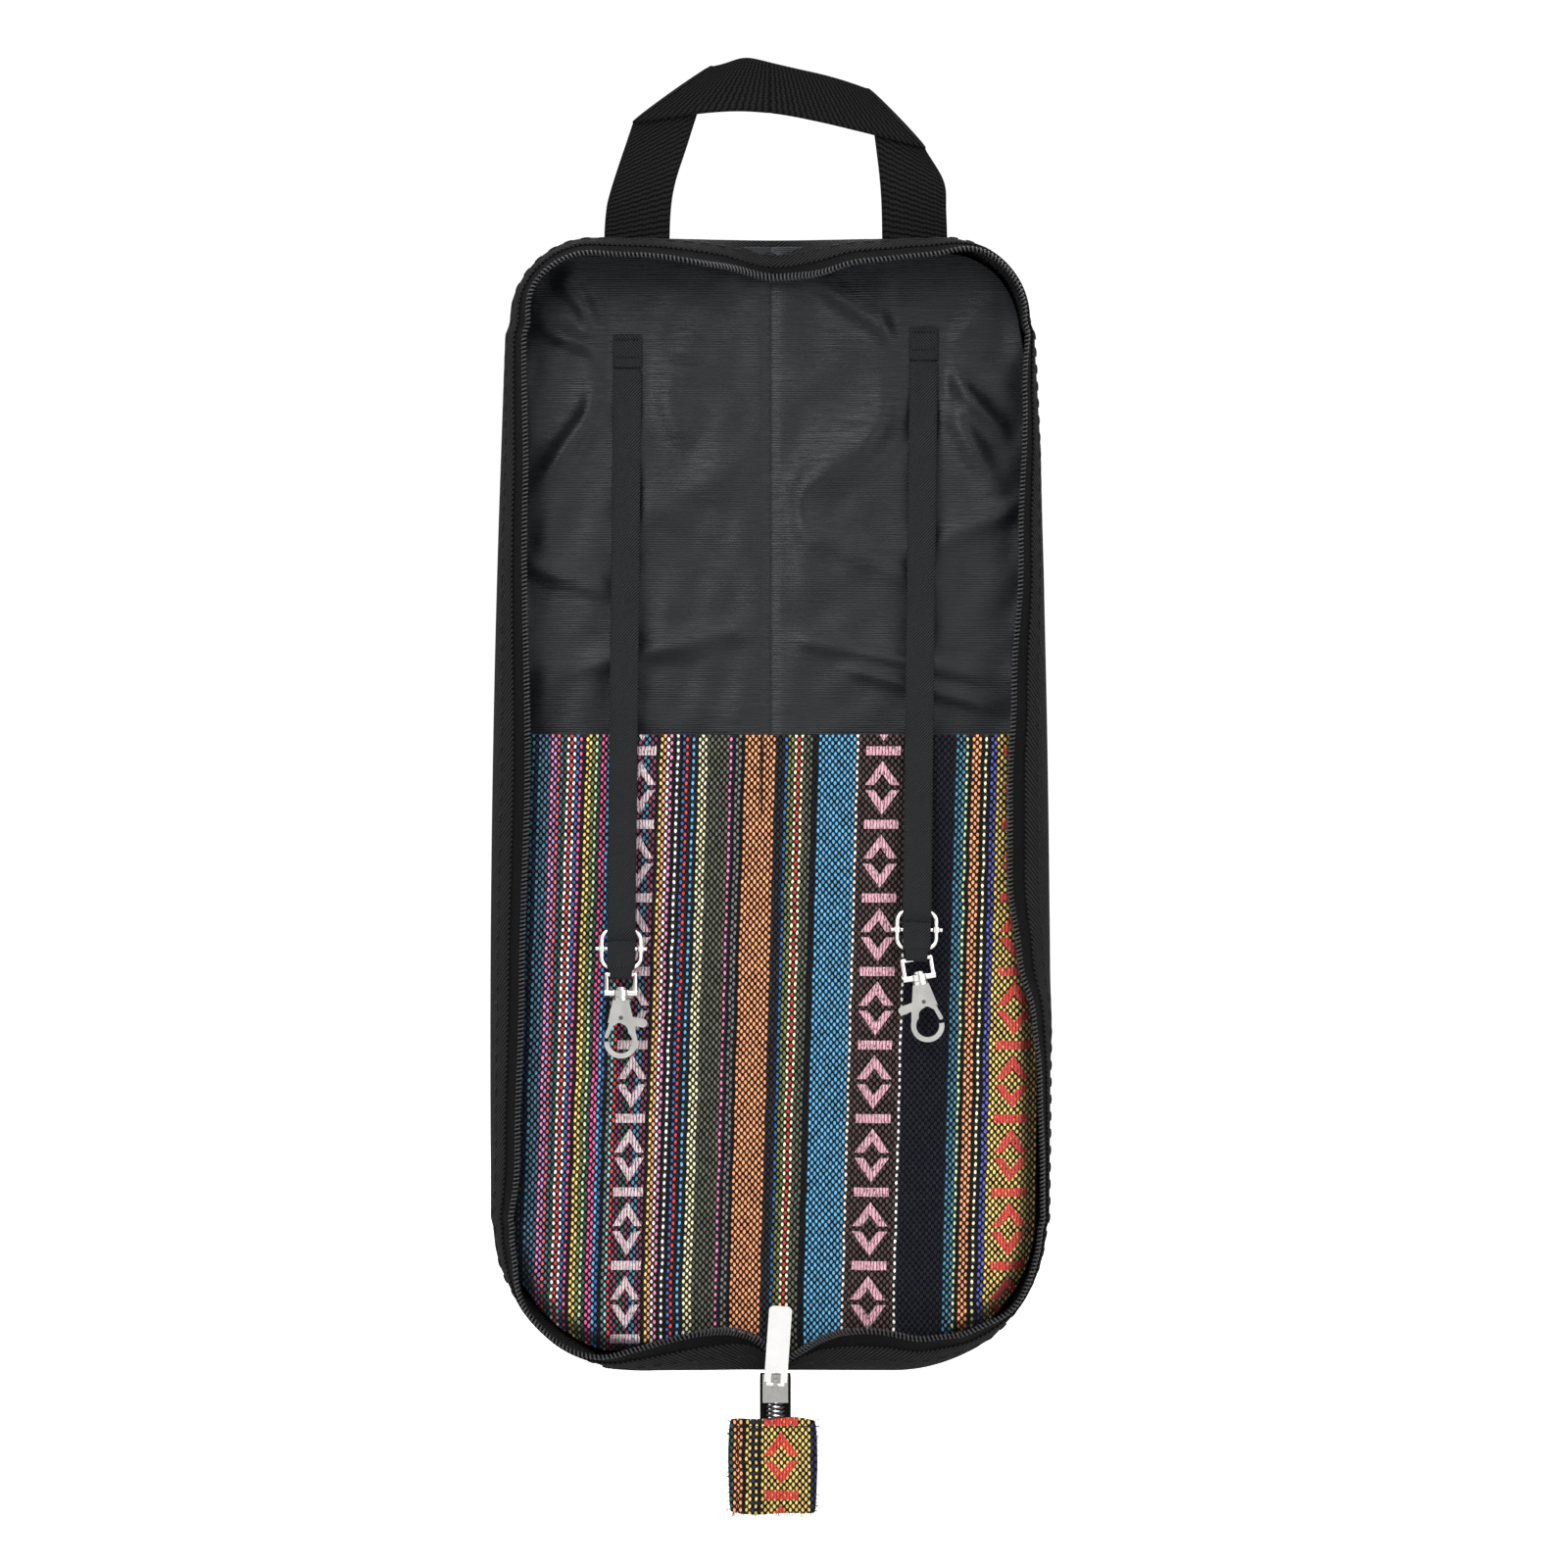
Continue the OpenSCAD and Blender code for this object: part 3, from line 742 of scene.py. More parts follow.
def wall_sheet(side, part, rows, reach, s, thickness, material):
    """A sheet in the wall; each of its rows runs round the half at one reach up the wall."""
    order = slice(None, None, -1 if side == LEFT else 1)
    grid = np.stack(rows, 1)[order]
    return thick_sheet(side + part, grid, thickness, uv_grid(s, reach)[order], material)


def make_binding(side):
    """The binding starts flat on the bag's back, turns over the edge and climbs the wall to its seam."""
    base, coil, line, outward, s = wall_curves(side, WALL_COUNT)
    edge = upright(line[:, 0], -0.6, line[:, 1])
    span = np.linalg.norm(coil - base, axis=1).mean()
    shares = np.linspace(0.03, SEAM, 14)
    rows = [edge - outward * inset for inset in BACK_FLANGE]
    rows += [wall_point(base, coil, outward, share) for share in shares]
    reach = np.array([-inset for inset in BACK_FLANGE] + list(shares * span))
    pucker = 0.05 * np.sin(s * 2 * math.pi / 7.0)
    near_seam = np.exp(-((reach - 6) / 3) ** 2)
    rows = [row + outward * (pucker * near)[:, None] for row, near in zip(rows, near_seam)]
    piece = wall_sheet(side, "_binding_cloth", rows, reach, s, 1.0, look["binding"])
    bend(piece, side, WALL_BEND, "black_binding", side + "_binding", "binding_top", "binding_bottom")


def make_tape(side):
    """Zipper tape from under the binding's seam up to the coil."""
    base, coil, _, outward, s = wall_curves(side, WALL_COUNT)
    span = np.linalg.norm(coil - base, axis=1).mean()
    shares = np.linspace(SEAM - 0.1, 0.985, 7)
    rows = [wall_point(base, coil, outward, share) - outward * 0.75 for share in shares]
    piece = wall_sheet(side, "_tape_cloth", rows, shares * span, s, 0.5, look["tape"])
    bend(piece, side, WALL_BEND, "zipper_tape", side + "_zipper_tape")


def make_coil(side):
    base, coil, _, outward, _ = wall_curves(side, WALL_COUNT)
    piece = coil_along(side + "_coil_teeth", coil - outward * 0.5, coil - base, 0.42)
    bend(piece, side, WALL_BEND, "zipper_coil", side + "_zipper_coil")


def make_binding_stitches(side):
    """One row of lock stitches half way up the wall."""
    base, coil, _, outward, s = wall_curves(side, WALL_COUNT)
    row = wall_point(base, coil, outward, 0.46)
    even, length = along(row, int(s[-1] / 6.6), return_length=True)
    lift = unit(values_at(length, s * length[-1] / s[-1], outward) + FRONT * 0.25)
    direction = unit(np.gradient(even, axis=0))
    piece = thread_stitches(side + "_binding_stitches", even + lift * 0.5, direction, 3.6, lift, 0.45)
    bend(piece, side, WALL_BEND, "black_binding")


def coil_along(name, line, across, wire):
    """A zipper coil along a line: a flattened helix of nylon wire, wide in the direction across."""
    old = distances(line)
    turns = int(old[-1] / COIL_PITCH)
    path, s = along(line, turns * 10 + 1, return_length=True)
    across = values_at(s, old, np.broadcast_to(across, line.shape))
    tangent, wide, thick = frames_along(path, unit(across))
    angle = (s / s[-1] * turns * 2 * math.pi)[:, None]
    helix = path + wide * np.cos(angle) * COIL_HALF_WIDE + thick * np.sin(angle) * COIL_HALF_THICK
    points, faces = tube_parts(helix, wire, 5, up=tangent)
    return make_object(name, points, faces, points[:, [0, 2]], look["coil"])


# ---- Cloth panels ----

def panel_grid(side, z_low, z_high, rows, columns, inset):
    """Rows of points across one half, from the fold line out to an inset from the outline."""
    z = z_low + (z_high - z_low) * (0.5 - 0.5 * np.cos(np.linspace(0, math.pi, rows)))
    across = 1 - (1 - np.linspace(0, 1, columns)) ** 1.15
    width = half_width(z, inset(z) if callable(inset) else inset)
    x = across[None] * width[:, None]
    zz = np.repeat(z[:, None], columns, 1)
    if side == RIGHT:
        return x, zz
    return -x[:, ::-1], zz[:, ::-1]


def ridge(x, z, start, end, width):
    """A soft ridge along the line from start to end, strongest near its start."""
    start, end = np.array(start, float), np.array(end, float)
    d = end - start
    t = ((x - start[0]) * d[0] + (z - start[1]) * d[1]) / (d @ d)
    off = ((x - start[0]) * d[1] - (z - start[1]) * d[0]) / math.hypot(*d)
    return np.exp(-(off / width) ** 2) * smooth(t, -0.08, 0.1) * (1 - smooth(t, 0.55, 1.05))


def waves(x, z, size, seed):
    """Gentle uneven undulation made of a few slanting waves."""
    random = np.random.default_rng(seed)
    out = np.zeros_like(x)
    for _ in range(7):
        a = random.uniform(0, 2 * math.pi)
        f = 2 * math.pi / (size * random.uniform(0.6, 1.7))
        out += np.sin((x * math.cos(a) + z * math.sin(a)) * f + random.uniform(0, 7))
    return out / 7


def make_shell(side):
    x, z = panel_grid(side, -HALF_H + 7.2, HALF_H - 7.2, 90, 46, 7.2)
    back = -0.35 - 0.95 * smooth(inset_of(x, z), 11.5, 9.5)
    cloth = np.stack([-x, z], -1)
    piece = slab(side + "_shell_cloth", upright(x, back - 0.8, z), upright(x, back, z), cloth, look["fabric"])
    bend(piece, side, PANEL_BEND, "striped_fabric", side + "_shell", "spine_shell")


def make_foam(side):
    x, z = panel_grid(side, -HALF_H + 7, HALF_H - 7, 50, 26, 7.0)
    front = -FOAM_FRONT + 0.3 + 0.1 * waves(x, z, 60, 3)
    cloth = np.stack([x, z], -1)
    piece = slab(side + "_foam_pad", upright(x, front, z), upright(x, -2.15, z), cloth, look["foam"])
    bend(piece, side, PANEL_BEND, "foam_padding", side + "_foam", "spine_foam")


LINING_T = 0.35

# Wrinkles of the satin: sideways and upward reach from the strap's anchor, width and height
ANCHOR_WRINKLES = {
    LEFT: [(-34, 44, 5, 1.6), (-38, 14, 3.5, 1.3), (-36, -52, 4.5, 1.7), (28, -36, 6, 1), (42, -8, 5, 0.8)],
    RIGHT: [(-56, 38, 5, 1.7), (34, -34, 4, 1.9), (32, -62, 5, 1.4), (-30, -50, 6, 1), (30, 20, 4, 0.8)],
}
# Other wrinkles: start, end, width and height
LOOSE_WRINKLES = {
    LEFT: [((-4, 140), (-74, 98), 9, 1), ((-6, 70), (-94, 50), 4.5, 1.1), ((-100, 96), (-50, 80), 4, 0.9)],
    RIGHT: [((6, 118), (54, 160), 8.0, 1.6), ((6, 112), (74, 82), 6.0, 1.3), ((8, 66), (96, 48), 3.5, 1.2),
            ((30, 54), (98, 36), 3.0, 1.0), ((104, 120), (62, 102), 4.0, 1.0)],
}


def lining_relief(side, x, z):
    """Soft waves, and wrinkles that fan out from the strap's anchor and from the middle fold."""
    anchor = joint_point(side + "_strap_swing")
    start = (anchor[0], anchor[2] + 3)
    relief = 0.6 * waves(x, z, 46, 11 if side == LEFT else 12)
    relief += 0.3 * waves(x, z, 19, 21 if side == LEFT else 22)
    for dx, dz, width, height in ANCHOR_WRINKLES[side]:
        relief += height * ridge(x, z, start, (start[0] + dx, start[1] + dz), width)
    for begin, end, width, height in LOOSE_WRINKLES[side]:
        relief += height * ridge(x, z, begin, end, width)
    return 2.2 * relief * smooth(inset_of(x, z), 3, 14) * smooth(np.abs(x), 1, 14)


def lining_slab(side, part, x, y, z):
    cloth = np.stack([x, z], -1)
    front, back = upright(x, y, z), upright(x, y + LINING_T, z)
    return slab(side + part, front, back, cloth, look["satin"])


def make_lining(side):
    """The lining above the pocket, flat under the strap's anchor and drawn in at the fold."""
    x, z = panel_grid(side, 14, HALF_H - 3, 150, 92, lining_edge(side))
    y = -LINING_FRONT - 1.15 - lining_relief(side, x, z)
    y += 1.1 * np.exp(-(x / 2.2) ** 2)
    anchor = joint_point(side + "_strap_swing")
    under = 1 - smooth(np.abs(x - anchor[0]), 8, 18)
    under = under * smooth(z, anchor[2] - 28, anchor[2] - 10)
    y = y * (1 - under) + under * (-LINING_FRONT - 0.5)
    y = np.minimum(y, -LINING_FRONT - 0.3)
    piece = lining_slab(side, "_lining_cloth", x, y, z)
    bend(piece, side, PANEL_BEND, "satin_lining", side + "_lining", "spine_lining")


def make_pocket_lining(side):
    """The lining behind the pocket, where nothing shows of its wrinkles."""
    x, z = panel_grid(side, -HALF_H + 6, 14.5, 50, 26, lining_edge(side))
    piece = lining_slab(side, "_lining_in_pocket", x, -LINING_FRONT - 0.5, z)
    bend(piece, side, PANEL_BEND, "satin_lining")


def lining_edge(side):
    """Height-wise inset of the lining's edge, just inside the foot of the wall."""
    base, _, line, _, _ = wall_curves(side, 300)
    foot = np.linalg.norm(base[:, [0, 2]] - line, axis=1)
    order = np.argsort(line[:, 1])
    return lambda z: np.interp(z, line[order, 1], foot[order]) + 1.6


# How far the pocket stands off the back at the fold and at its outer edge
POCKET_AT_FOLD = 5.6
POCKET_AT_EDGE = 7.5


def pocket_edge(side):
    """Height-wise inset of the pocket's outer edge, which tucks in behind the leaning coil."""
    line, _, s = outline(side, 300)
    inset = steady(COIL_INSET[side], s)
    edge = np.maximum(0.55 * inset + 1.5, 5.6)
    part = (line[:, 1] < 60) & (s < 540)
    order = np.argsort(line[part, 1])
    heights, edges = line[part, 1][order], edge[part][order]
    return lambda z: np.interp(z, heights, edges)


def pocket_depth(side, x, z):
    """How far the pocket stands off the back: full over the sticks, drawn in under the strap."""
    strap = joint_point(side + "_strap_swing")[0]
    full = POCKET_FRONT - 1.0 - POCKET_AT_FOLD
    depth = POCKET_AT_FOLD + full * smooth(np.abs(x), 12, 42)
    depth -= 2.7 * np.exp(-((x - strap - SIGN[side] * 1.5) / 13) ** 4)
    depth += 0.35 * waves(x, z, 34, 31 if side == LEFT else 32) * smooth(np.abs(x), 4, 16)
    edge = pocket_edge(side)(z)
    tuck = smooth(inset_of(x, z), edge - 0.5, edge + 8)
    return POCKET_AT_EDGE + (depth - POCKET_AT_EDGE) * np.where(depth > POCKET_AT_EDGE, tuck, 1)


def make_pocket(side):
    """The pocket's cloth; its stripes drift sideways toward the bottom."""
    x, z = panel_grid(side, -HALF_H + 8.5, POCKET_TOP - 0.6, 170, 96, pocket_edge(side))
    grid = upright(x, -pocket_depth(side, x, z), z)
    drift = np.clip((POCKET_TOP - z) / 193, 0, 1.15) * (6.2 - 1.2 * (x + 93) / 190)
    piece = thick_sheet(side + "_pocket_cloth", grid, 0.8, np.stack([x + drift, z], -1), look["fabric"])
    bend(piece, side, PANEL_BEND, "striped_fabric", side + "_pocket", "pocket_middle")


def make_pocket_tack():
    """Close black stitches that hold the pocket's mouth down on the fold line."""
    places = upright(-3.4, -6.35, np.arange(-3, POCKET_TOP, 1.35))
    piece = thread_stitches("pocket_tack_stitches", places, UP, 1.5, FRONT, 0.42)
    ride(piece, "spine", "striped_fabric")


# ---- Straps ----

# The strap's tape: its width, its width where the clasp's eye gathers it, and its thickness
STRAP_W = box("left_strap_anchor")[1][0] - box("left_strap_anchor")[0][0] - 0.8
LOOP_W = 8.0
STRAP_T = 0.8
# How far in front of the bar's middle the line from the strap's hinge runs past the buckle
BAR_DEPTH = 1.45


def strap_frame(side):
    """Hinge point, direction down the strap, direction across it, and direction to its front."""
    hinge = joint_point(side + "_strap_swing")
    down = unit(sum(box(side + "_buckle_bar")) / 2 + FRONT * BAR_DEPTH - hinge)
    front = unit(FRONT - down * (down @ FRONT))
    return hinge, down, unit(np.cross(front, down)), front


def ribbon(name, centre, width, across, thickness, material):
    """A flat tape along a line of points, a little thicker in its middle."""
    tangent = np.gradient(centre, axis=0)
    k = np.linspace(-1, 1, 7)
    along_part = (across * tangent).sum(1, keepdims=True) / (tangent**2).sum(1, keepdims=True)
    side = unit(across - along_part * tangent)
    normal = unit(np.cross(side, tangent))
    width = np.broadcast_to(width, len(centre))
    grid = centre[:, None] + side[:, None] * (k[None] * width[:, None] / 2)[..., None]
    grid = grid + normal[:, None] * (0.12 * (1 - k * k))[None, :, None]
    cloth = uv_grid(distances(centre), k * width[0] / 2)[..., ::-1]
    return thick_sheet(name, grid, thickness, cloth, material)


def strap_reaches(side):
    """How far down the strap the buckle's bar and the top wire of the clasp's eye lie."""
    hinge, down, _, _ = strap_frame(side)
    bar = (sum(box(side + "_buckle_bar")) / 2 - hinge) @ down
    eye = (box(side + "_clasp_eye")[1][2] - 0.9 - hinge[2]) / down[2]
    return bar, eye


def strap_line(side, places):
    """A smooth line through places, each given by a reach down the strap and a height off the bar."""
    hinge, down, _, front = strap_frame(side)
    points = [hinge + down * reach + front * (height - BAR_DEPTH) for reach, height in places]
    return curve_through(points, 4 * len(points) + 60)


def make_strap_tape(side):
    """The tape from the anchor down to the buckle, where it dives behind the bar."""
    bar, _ = strap_reaches(side)
    line = strap_line(side, [(0.5, 1.2), (6, 1.5), (40, 1.6), (100, 1.65), (bar - 60, 1.5), (bar - 16, 1.6),
                             (bar - 7.3, 1.62), (bar - 3.4, 0.35), (bar, -1.35), (bar + 3.0, -1.5)])
    piece = ribbon(side + "_strap_tape", line, STRAP_W, strap_frame(side)[2], STRAP_T, look["strap"])
    ride(piece, side + "_strap", "strap_tape", side + "_strap")


def make_strap_loop(side):
    """The end of the tape: over the buckle's bar, round the wire of the clasp's eye and back up."""
    bar, eye = strap_reaches(side)
    line = strap_line(side, [(bar - 2.6, 1.25), (bar, 1.4), (bar + 4, 1.45), (bar + 7.3, 1.6), (eye - 3, 1.5),
                             (eye, 1.42), (eye + 1.1, 1.0), (eye + 1.5, 0), (eye + 1.1, -1.0),
                             (eye, -1.42), (eye - 3, -1.5), (bar + 6.5, -1.6)])
    hinge, down, across, _ = strap_frame(side)
    wide = STRAP_W - 0.3
    width = wide - (wide - LOOP_W) * smooth((line - hinge) @ down, bar + 7.5, eye - 1.5)
    piece = ribbon(side + "_strap_loop", line, width, across, STRAP_T, look["strap"])
    ride(piece, side + "_strap", "strap_tape")


def make_strap_anchor(side):
    """The sewn end of the tape, folded down over the lining above the hinge, and its two seams."""
    lo, hi = box(side + "_strap_anchor")
    middle = (lo[0] + hi[0]) / 2
    z = np.linspace(lo[2] - 0.6, hi[2], 14)
    y = lo[1] + 0.1 - 0.25 * np.sin(np.linspace(0, math.pi, 14))
    line = upright(middle, y, z)
    patch = ribbon(side + "_strap_anchor_tape", line, STRAP_W + 0.4, ACROSS, 0.9, look["strap"])
    ride(patch, side + "_cover", "strap_tape", side + "_strap_anchor")
    x = middle + np.arange(-STRAP_W / 2 + 1.4, STRAP_W / 2 - 1, 1.5)
    places = np.vstack([upright(x, lo[1] - 0.75, height) for height in (hi[2] - 1.6, hi[2] - 8.5)])
    stitches = thread_stitches(side + "_anchor_stitches", places, ACROSS, 1.2, FRONT, 0.22)
    ride(stitches, side + "_cover", "strap_tape")


# ---- Handle ----

WEBBING_W = 25.0
# Both creases, from their low to their high end, and the arch's lower and upper edge between them
CREASE = {LEFT: [(-53.9, 269.0), (-23.1, 290.9)], RIGHT: [(60.8, 258.9), (38.5, 282.0)]}
ARCH_LOW = [(-53.9, 269.0), (-21, 273), (0, 273.2), (21, 269.7), (60.8, 258.9)]
ARCH_HIGH = [(-23.1, 290.9), (-3, 294), (21, 288.6), (38.5, 282.0)]


def leg_edges(side):
    """Outer and inner edge of a leg, from behind the top binding up to its crease."""
    lo, hi = box(side + "_handle_leg")
    root = HALF_H - 8
    if side == LEFT:
        near, far = lo[0], lo[0] + WEBBING_W
        outer = [(near, root), (near + 0.8, 232), (near + 3, 243), CREASE[side][0]]
        inner = [(far, root), (far + 1.5, 240), (far + 8, 262), CREASE[side][1]]
    else:
        near, far = hi[0] - WEBBING_W, hi[0]
        outer = [(far, root), (far - 0.6, 234), (far - 1.5, 246), CREASE[side][0]]
        inner = [(near, root), (near - 0.6, 240), (near - 3, 262), CREASE[side][1]]
    return outer, inner


def between(first, second, share):
    """Rows of points from one line across to another."""
    k = share[None, :, None]
    return first[:, None] * (1 - k) + second[:, None] * k


def half_arch(side, share):
    """Half of the arch, from its crease to the middle, where both halves meet."""
    arch = between(curve_through(ARCH_LOW, 81), curve_through(ARCH_HIGH, 81), share)
    arch = arch[:41] if side == LEFT else arch[40:][::-1]
    arch[:, :, 0] -= smooth(np.linspace(0, 1, 41), 0, 1)[:, None] * arch[-1, :, 0][None]
    return arch


def crease_fold(side, edge, turn, share):
    """The webbing's turn over its crease, which bulges a little past the crease line."""
    crease = np.subtract(CREASE[side][1], CREASE[side][0])
    square = unit(np.array([-crease[1], crease[0]]))
    if square[1] < 0:
        square = -square
    bulge = np.sin(share * math.pi) ** 0.5
    return edge[None] + square * (0.7 * np.sin(turn))[:, None, None] * bulge[None, :, None]


def make_handle(side):
    """Half of the handle: one leg, the fold at its crease, and half of the arch in front of it."""
    share = np.linspace(0, 1, 15)
    outer, inner = leg_edges(side)
    leg = between(curve_through(outer, 40), curve_through(inner, 40), share)
    arch = half_arch(side, share)
    turn = np.linspace(0, math.pi, 7)[1:-1]
    fold = crease_fold(side, leg[-1], turn, share)
    leg_y = -1.5 + 0.25 * np.sin(np.linspace(0, 1, 40) * 9)
    fold_y = -2.2 + 0.7 * np.cos(turn)
    arch_y = -2.9 - 0.9 * np.sin(np.linspace(0, math.pi / 2, 41)) ** 2
    arch_y = arch_y[:, None] + 0.25 * np.sin(share * math.pi)[None]
    flat = np.concatenate([leg, fold, arch[1:]])
    behind = np.repeat(np.concatenate([leg_y, fold_y])[:, None], len(share), 1)
    grid = upright(flat[..., 0], np.concatenate([behind, arch_y[1:]]), flat[..., 1])
    grid = grid[:, ::-1] if side == LEFT else grid
    cloth = uv_grid(distances(grid[:, len(share) // 2]), (share - 0.5) * WEBBING_W)[..., ::-1]
    piece = thick_sheet(side + "_handle_webbing", grid, 1.2, cloth, look["webbing"])
    bend(piece, side, HANDLE_BEND, "black_webbing", side + "_handle_leg", "handle_grip")


# ---- Tail ----

def make_tail(side):
    """One half of the zipper below the bag: its narrow tape and its coil, side by side with the other's."""
    h = SIGN[side]
    z = np.linspace(-HALF_H - 0.9, box("tail_tapes")[0][2], 16)
    x = TAIL_X + h * 4.35
    tape = ribbon(side + "_tail_tape", upright(x, -TAIL_DEPTH, z), 3.1, ACROSS, 0.6, look["tape"])
    ride(tape, "tail", "zipper_tape", "tail_tapes")
    line = upright(x - h * 2.55, -TAIL_DEPTH, z + h * 0.4)
    coil = coil_along(side + "_tail_coil", line, ACROSS, 0.5)
    ride(coil, "tail", "zipper_coil", "tail_coils")


def make_end_tab():
    """A fabric tab folded round the tail's end: soft, a little uneven and rounded at its corners."""
    lo, hi = box("end_tab")
    middle = (lo + hi) / 2
    half = (hi - lo) / 2
    uu, vv = np.meshgrid(np.linspace(-1, 1, 56), np.linspace(-1, 1, 60))
    round_off = 1 - 0.035 * np.abs(uu) ** 6 * np.abs(vv) ** 6
    x = middle[0] + uu * (half[0] - 0.6) * round_off * (1 + 0.012 * np.sin(vv * 3 + 1))
    z = middle[2] + vv * (half[2] - 0.6) * round_off + 0.35 * np.sin(uu * 4)
    rim_in = np.minimum((1 - np.abs(uu)) * half[0], (1 - np.abs(vv)) * half[2])
    thick = 0.55 + (half[1] - 0.75) * smooth(rim_in, -0.4, 3.2) ** 0.6
    quilt = 0.35 * np.exp(-((rim_in - 3.4) / 0.8) ** 2) + 0.12 * waves(x, z, 14, 5)
    front = upright(x, middle[1] - thick + quilt, z)
    back = upright(x, middle[1] + thick - quilt, z)
    piece = slab("end_tab_cloth", front, back, np.stack([x, z], -1), look["tab"])
    ride(piece, "tail", "striped_fabric", "end_tab")


def make_tab_fray():
    """Loose yarn ends along the tab's lower edge and both of its sides."""
    lo, hi = box("end_tab")
    middle = (lo + hi) / 2
    half = (hi - lo) / 2
    lines = []
    for n in range(90):
        spot = rng.uniform(-1, 1)
        depth = middle[1] + rng.uniform(-0.6, 0.6)
        if n % 3 == 0:
            root = np.array([middle[0] + spot * (half[0] - 1.2), depth, lo[2] + 0.7])
            way = np.array([rng.uniform(-0.5, 0.5), rng.uniform(-0.5, 0.5), -1.0])
        else:
            edge, outward = (hi[0] - 0.9, 1.0) if n % 3 == 1 else (lo[0] + 0.9, -1.0)
            root = np.array([edge, depth, middle[2] + spot * (half[2] - 1.2)])
            way = np.array([outward, rng.uniform(-0.5, 0.5), rng.uniform(-0.6, 0.6)])
        tip = root + way * rng.uniform(0.9, 2.0)
        bend = (root + tip) / 2 + rng.uniform(-0.3, 0.3, 3)
        lines.append(curve_through([root, bend, tip], 5))
    fray = tubes("end_tab_fray", lines, 0.13, 4, look["tab"])
    ride(fray, "tail", "striped_fabric")


def make_tab_stitches():
    """Seams across the tab's top and down its left side."""
    lo, hi = box("end_tab")
    x = np.arange(lo[0] + 4, hi[0] - 3, 2.6)
    z = np.arange(lo[2] + 3, hi[2] - 3, 2.6)
    top = upright(x, lo[1] + 0.42, hi[2] - 3.4)
    left = upright(lo[0] + 3.6, lo[1] + 0.42, z)
    ways = np.vstack([np.broadcast_to(ACROSS, top.shape), np.broadcast_to(UP, left.shape)])
    stitches = thread_stitches("end_tab_stitches", np.vstack([top, left]), ways, 1.9, FRONT, 0.22)
    ride(stitches, "tail", "striped_fabric")


# ---- Hardware kept from the frame ----

def dress(node, material, width=0.16):
    """Gives a CAD node its finish, and softens its edges."""
    obj = frame["nodes"][node]
    obj.data.materials.clear()
    obj.data.materials.append(look[material])
    for polygon in obj.data.polygons:
        polygon.use_smooth = True
    bevel = obj.modifiers.new("soft_edges", "BEVEL")
    bevel.width = width * MM
    bevel.segments = 3
    bevel.limit_method = "ANGLE"
    bevel.angle_limit = math.radians(35)
    bevel.harden_normals = True


def dress_hardware():
    for side in (LEFT, RIGHT):
        for part in ("buckle_frame", "buckle_bar", "clasp_eye", "clasp_body", "clasp_rivet", "clasp_spring",
                     "clasp_lever"):
            finish = "rivet" if part == "clasp_rivet" else "nickel"
            dress(side + "_" + part, finish, 0.45 if part == "clasp_body" else 0.14)
    dress("slider_body", "zipper_metal", 0.3)
    dress("pull_tab", "pull", 0.3)
    dress("zipper_top_stop", "stop", 0.4)


# ---- Stage ----

SENSOR_MM = 36
VIEW_DISTANCE = 2.5
VIEW_W = 0.616


def make_world():
    """A white backdrop for the camera; its light on the bag is dimmer, and banded where metal mirrors it."""
    world = bpy.data.worlds.new("studio")
    bpy.context.scene.world = world
    world.use_nodes = True
    tree = world.node_tree
    rays = add_node(tree, "LightPath").outputs
    sideways, _, upward = split(tree, add_node(tree, "TexCoord").outputs["Generated"])
    banded = upward.rise(-0.5, 0.35, 0.1, 0.8) + (sideways * 7.0 + 0.9).wave() * 0.22
    seen = Num(tree, rays["Is Camera Ray"]) * 0.8
    mirrored = Num(tree, rays["Is Glossy Ray"]) * banded
    fill(tree, tree.nodes["Background"], {"Color": (1, 1, 1, 1), "Strength": seen + mirrored + 0.24})


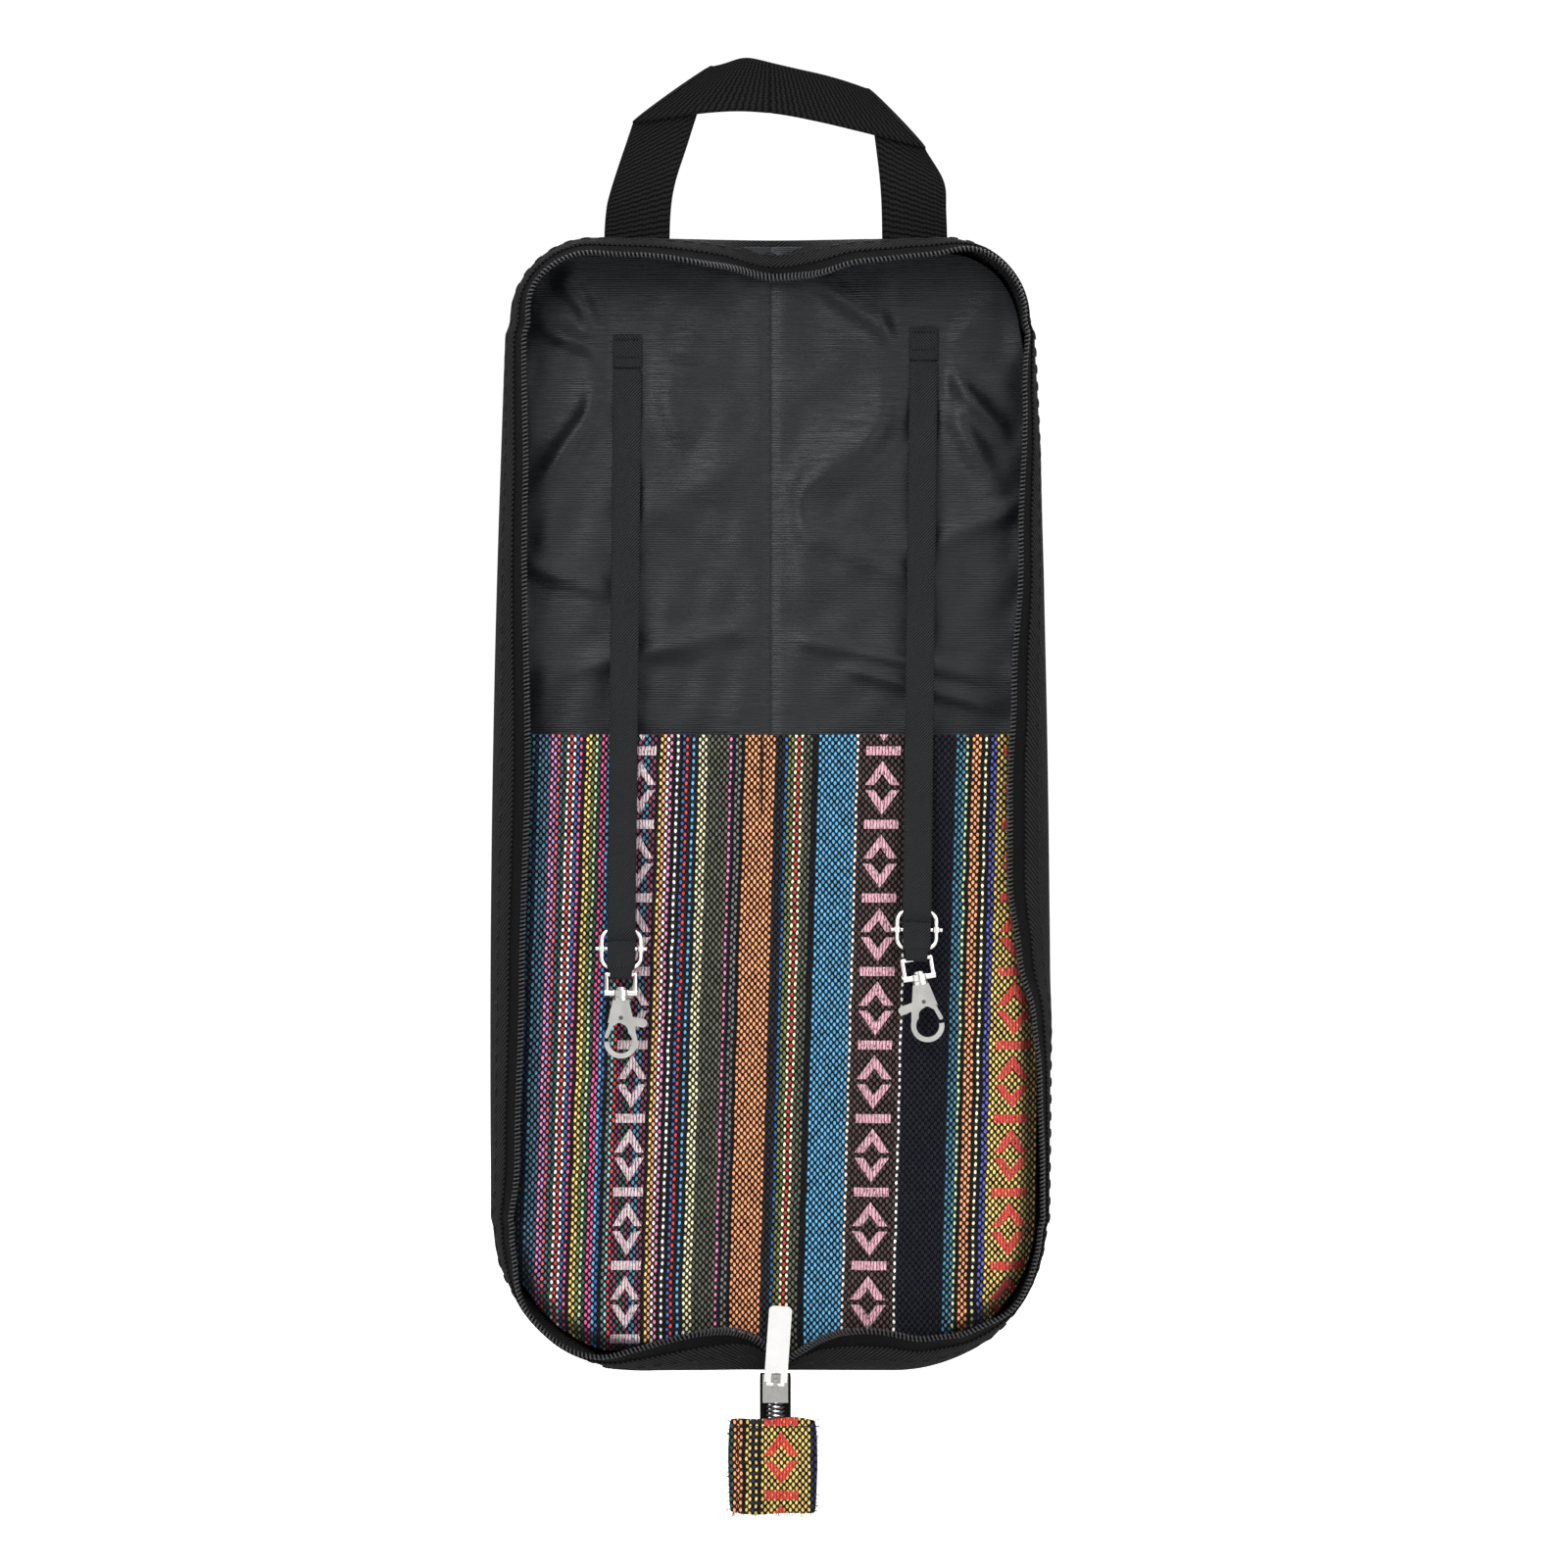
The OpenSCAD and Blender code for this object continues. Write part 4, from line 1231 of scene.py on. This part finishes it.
def make_floor():
    """A pale floor just below the tab; it glows for the camera only, so that it blends with the backdrop."""
    ground = box("end_tab")[0][2] * MM - 0.002
    bpy.ops.mesh.primitive_plane_add(size=60, location=(0, 0, ground))
    floor = bpy.context.object
    floor.name = "floor"
    m, tree, shader = new_material("pale_floor", 0.9, (250, 250, 250), 0.1)
    colour = mix(tree, object_noise(tree, 3, 2.0), (248, 248, 248), (253, 253, 253))
    glow = Num(tree, add_node(tree, "LightPath").outputs["Is Camera Ray"]) * 0.85
    fill(tree, shader, {"Base Color": colour, "Emission Color": (1, 1, 1, 1), "Emission Strength": glow})
    floor.data.materials.append(m)


def make_light(name, place, size, power):
    """A soft square light that shines at the middle of the bag."""
    data = bpy.data.lights.new(name, "AREA")
    data.size = size
    data.energy = power
    light = bpy.data.objects.new(name, data)
    light.location = place
    light.rotation_euler = (-Vector(place)).to_track_quat("-Z", "Y").to_euler()
    bpy.context.scene.collection.objects.link(light)


def make_camera():
    """A long lens straight in front; VIEW_W metres fill its frame at the distance of the bag."""
    data = bpy.data.cameras.new("camera")
    data.sensor_width = SENSOR_MM
    data.lens = SENSOR_MM * VIEW_DISTANCE / VIEW_W
    data.clip_start = 0.05
    camera = bpy.data.objects.new("camera", data)
    camera.location = (0.0054, -VIEW_DISTANCE - 0.01, 0.0083)
    camera.rotation_euler = (math.pi / 2, 0, 0)
    bpy.context.scene.collection.objects.link(camera)
    bpy.context.scene.camera = camera


for half in (LEFT, RIGHT):
    make_shell(half)
    make_foam(half)
    make_lining(half)
    make_pocket_lining(half)
    make_pocket(half)
    make_binding(half)
    make_tape(half)
    make_coil(half)
    make_binding_stitches(half)
    make_strap_tape(half)
    make_strap_loop(half)
    make_strap_anchor(half)
    make_handle(half)
    make_tail(half)
make_pocket_tack()
make_end_tab()
make_tab_fray()
make_tab_stitches()
dress_hardware()

bpy.context.scene.view_settings.view_transform = "Standard"
make_world()
make_floor()
make_light("key", (-0.9, -1.7, 1.5), 1.2, 37)
make_light("fill", (1.3, -1.6, 0.5), 1.4, 16)
make_light("top", (0.0, -0.3, 2.0), 1.6, 16)
make_light("back", (0.4, 1.8, 1.1), 1.5, 14)
make_camera()
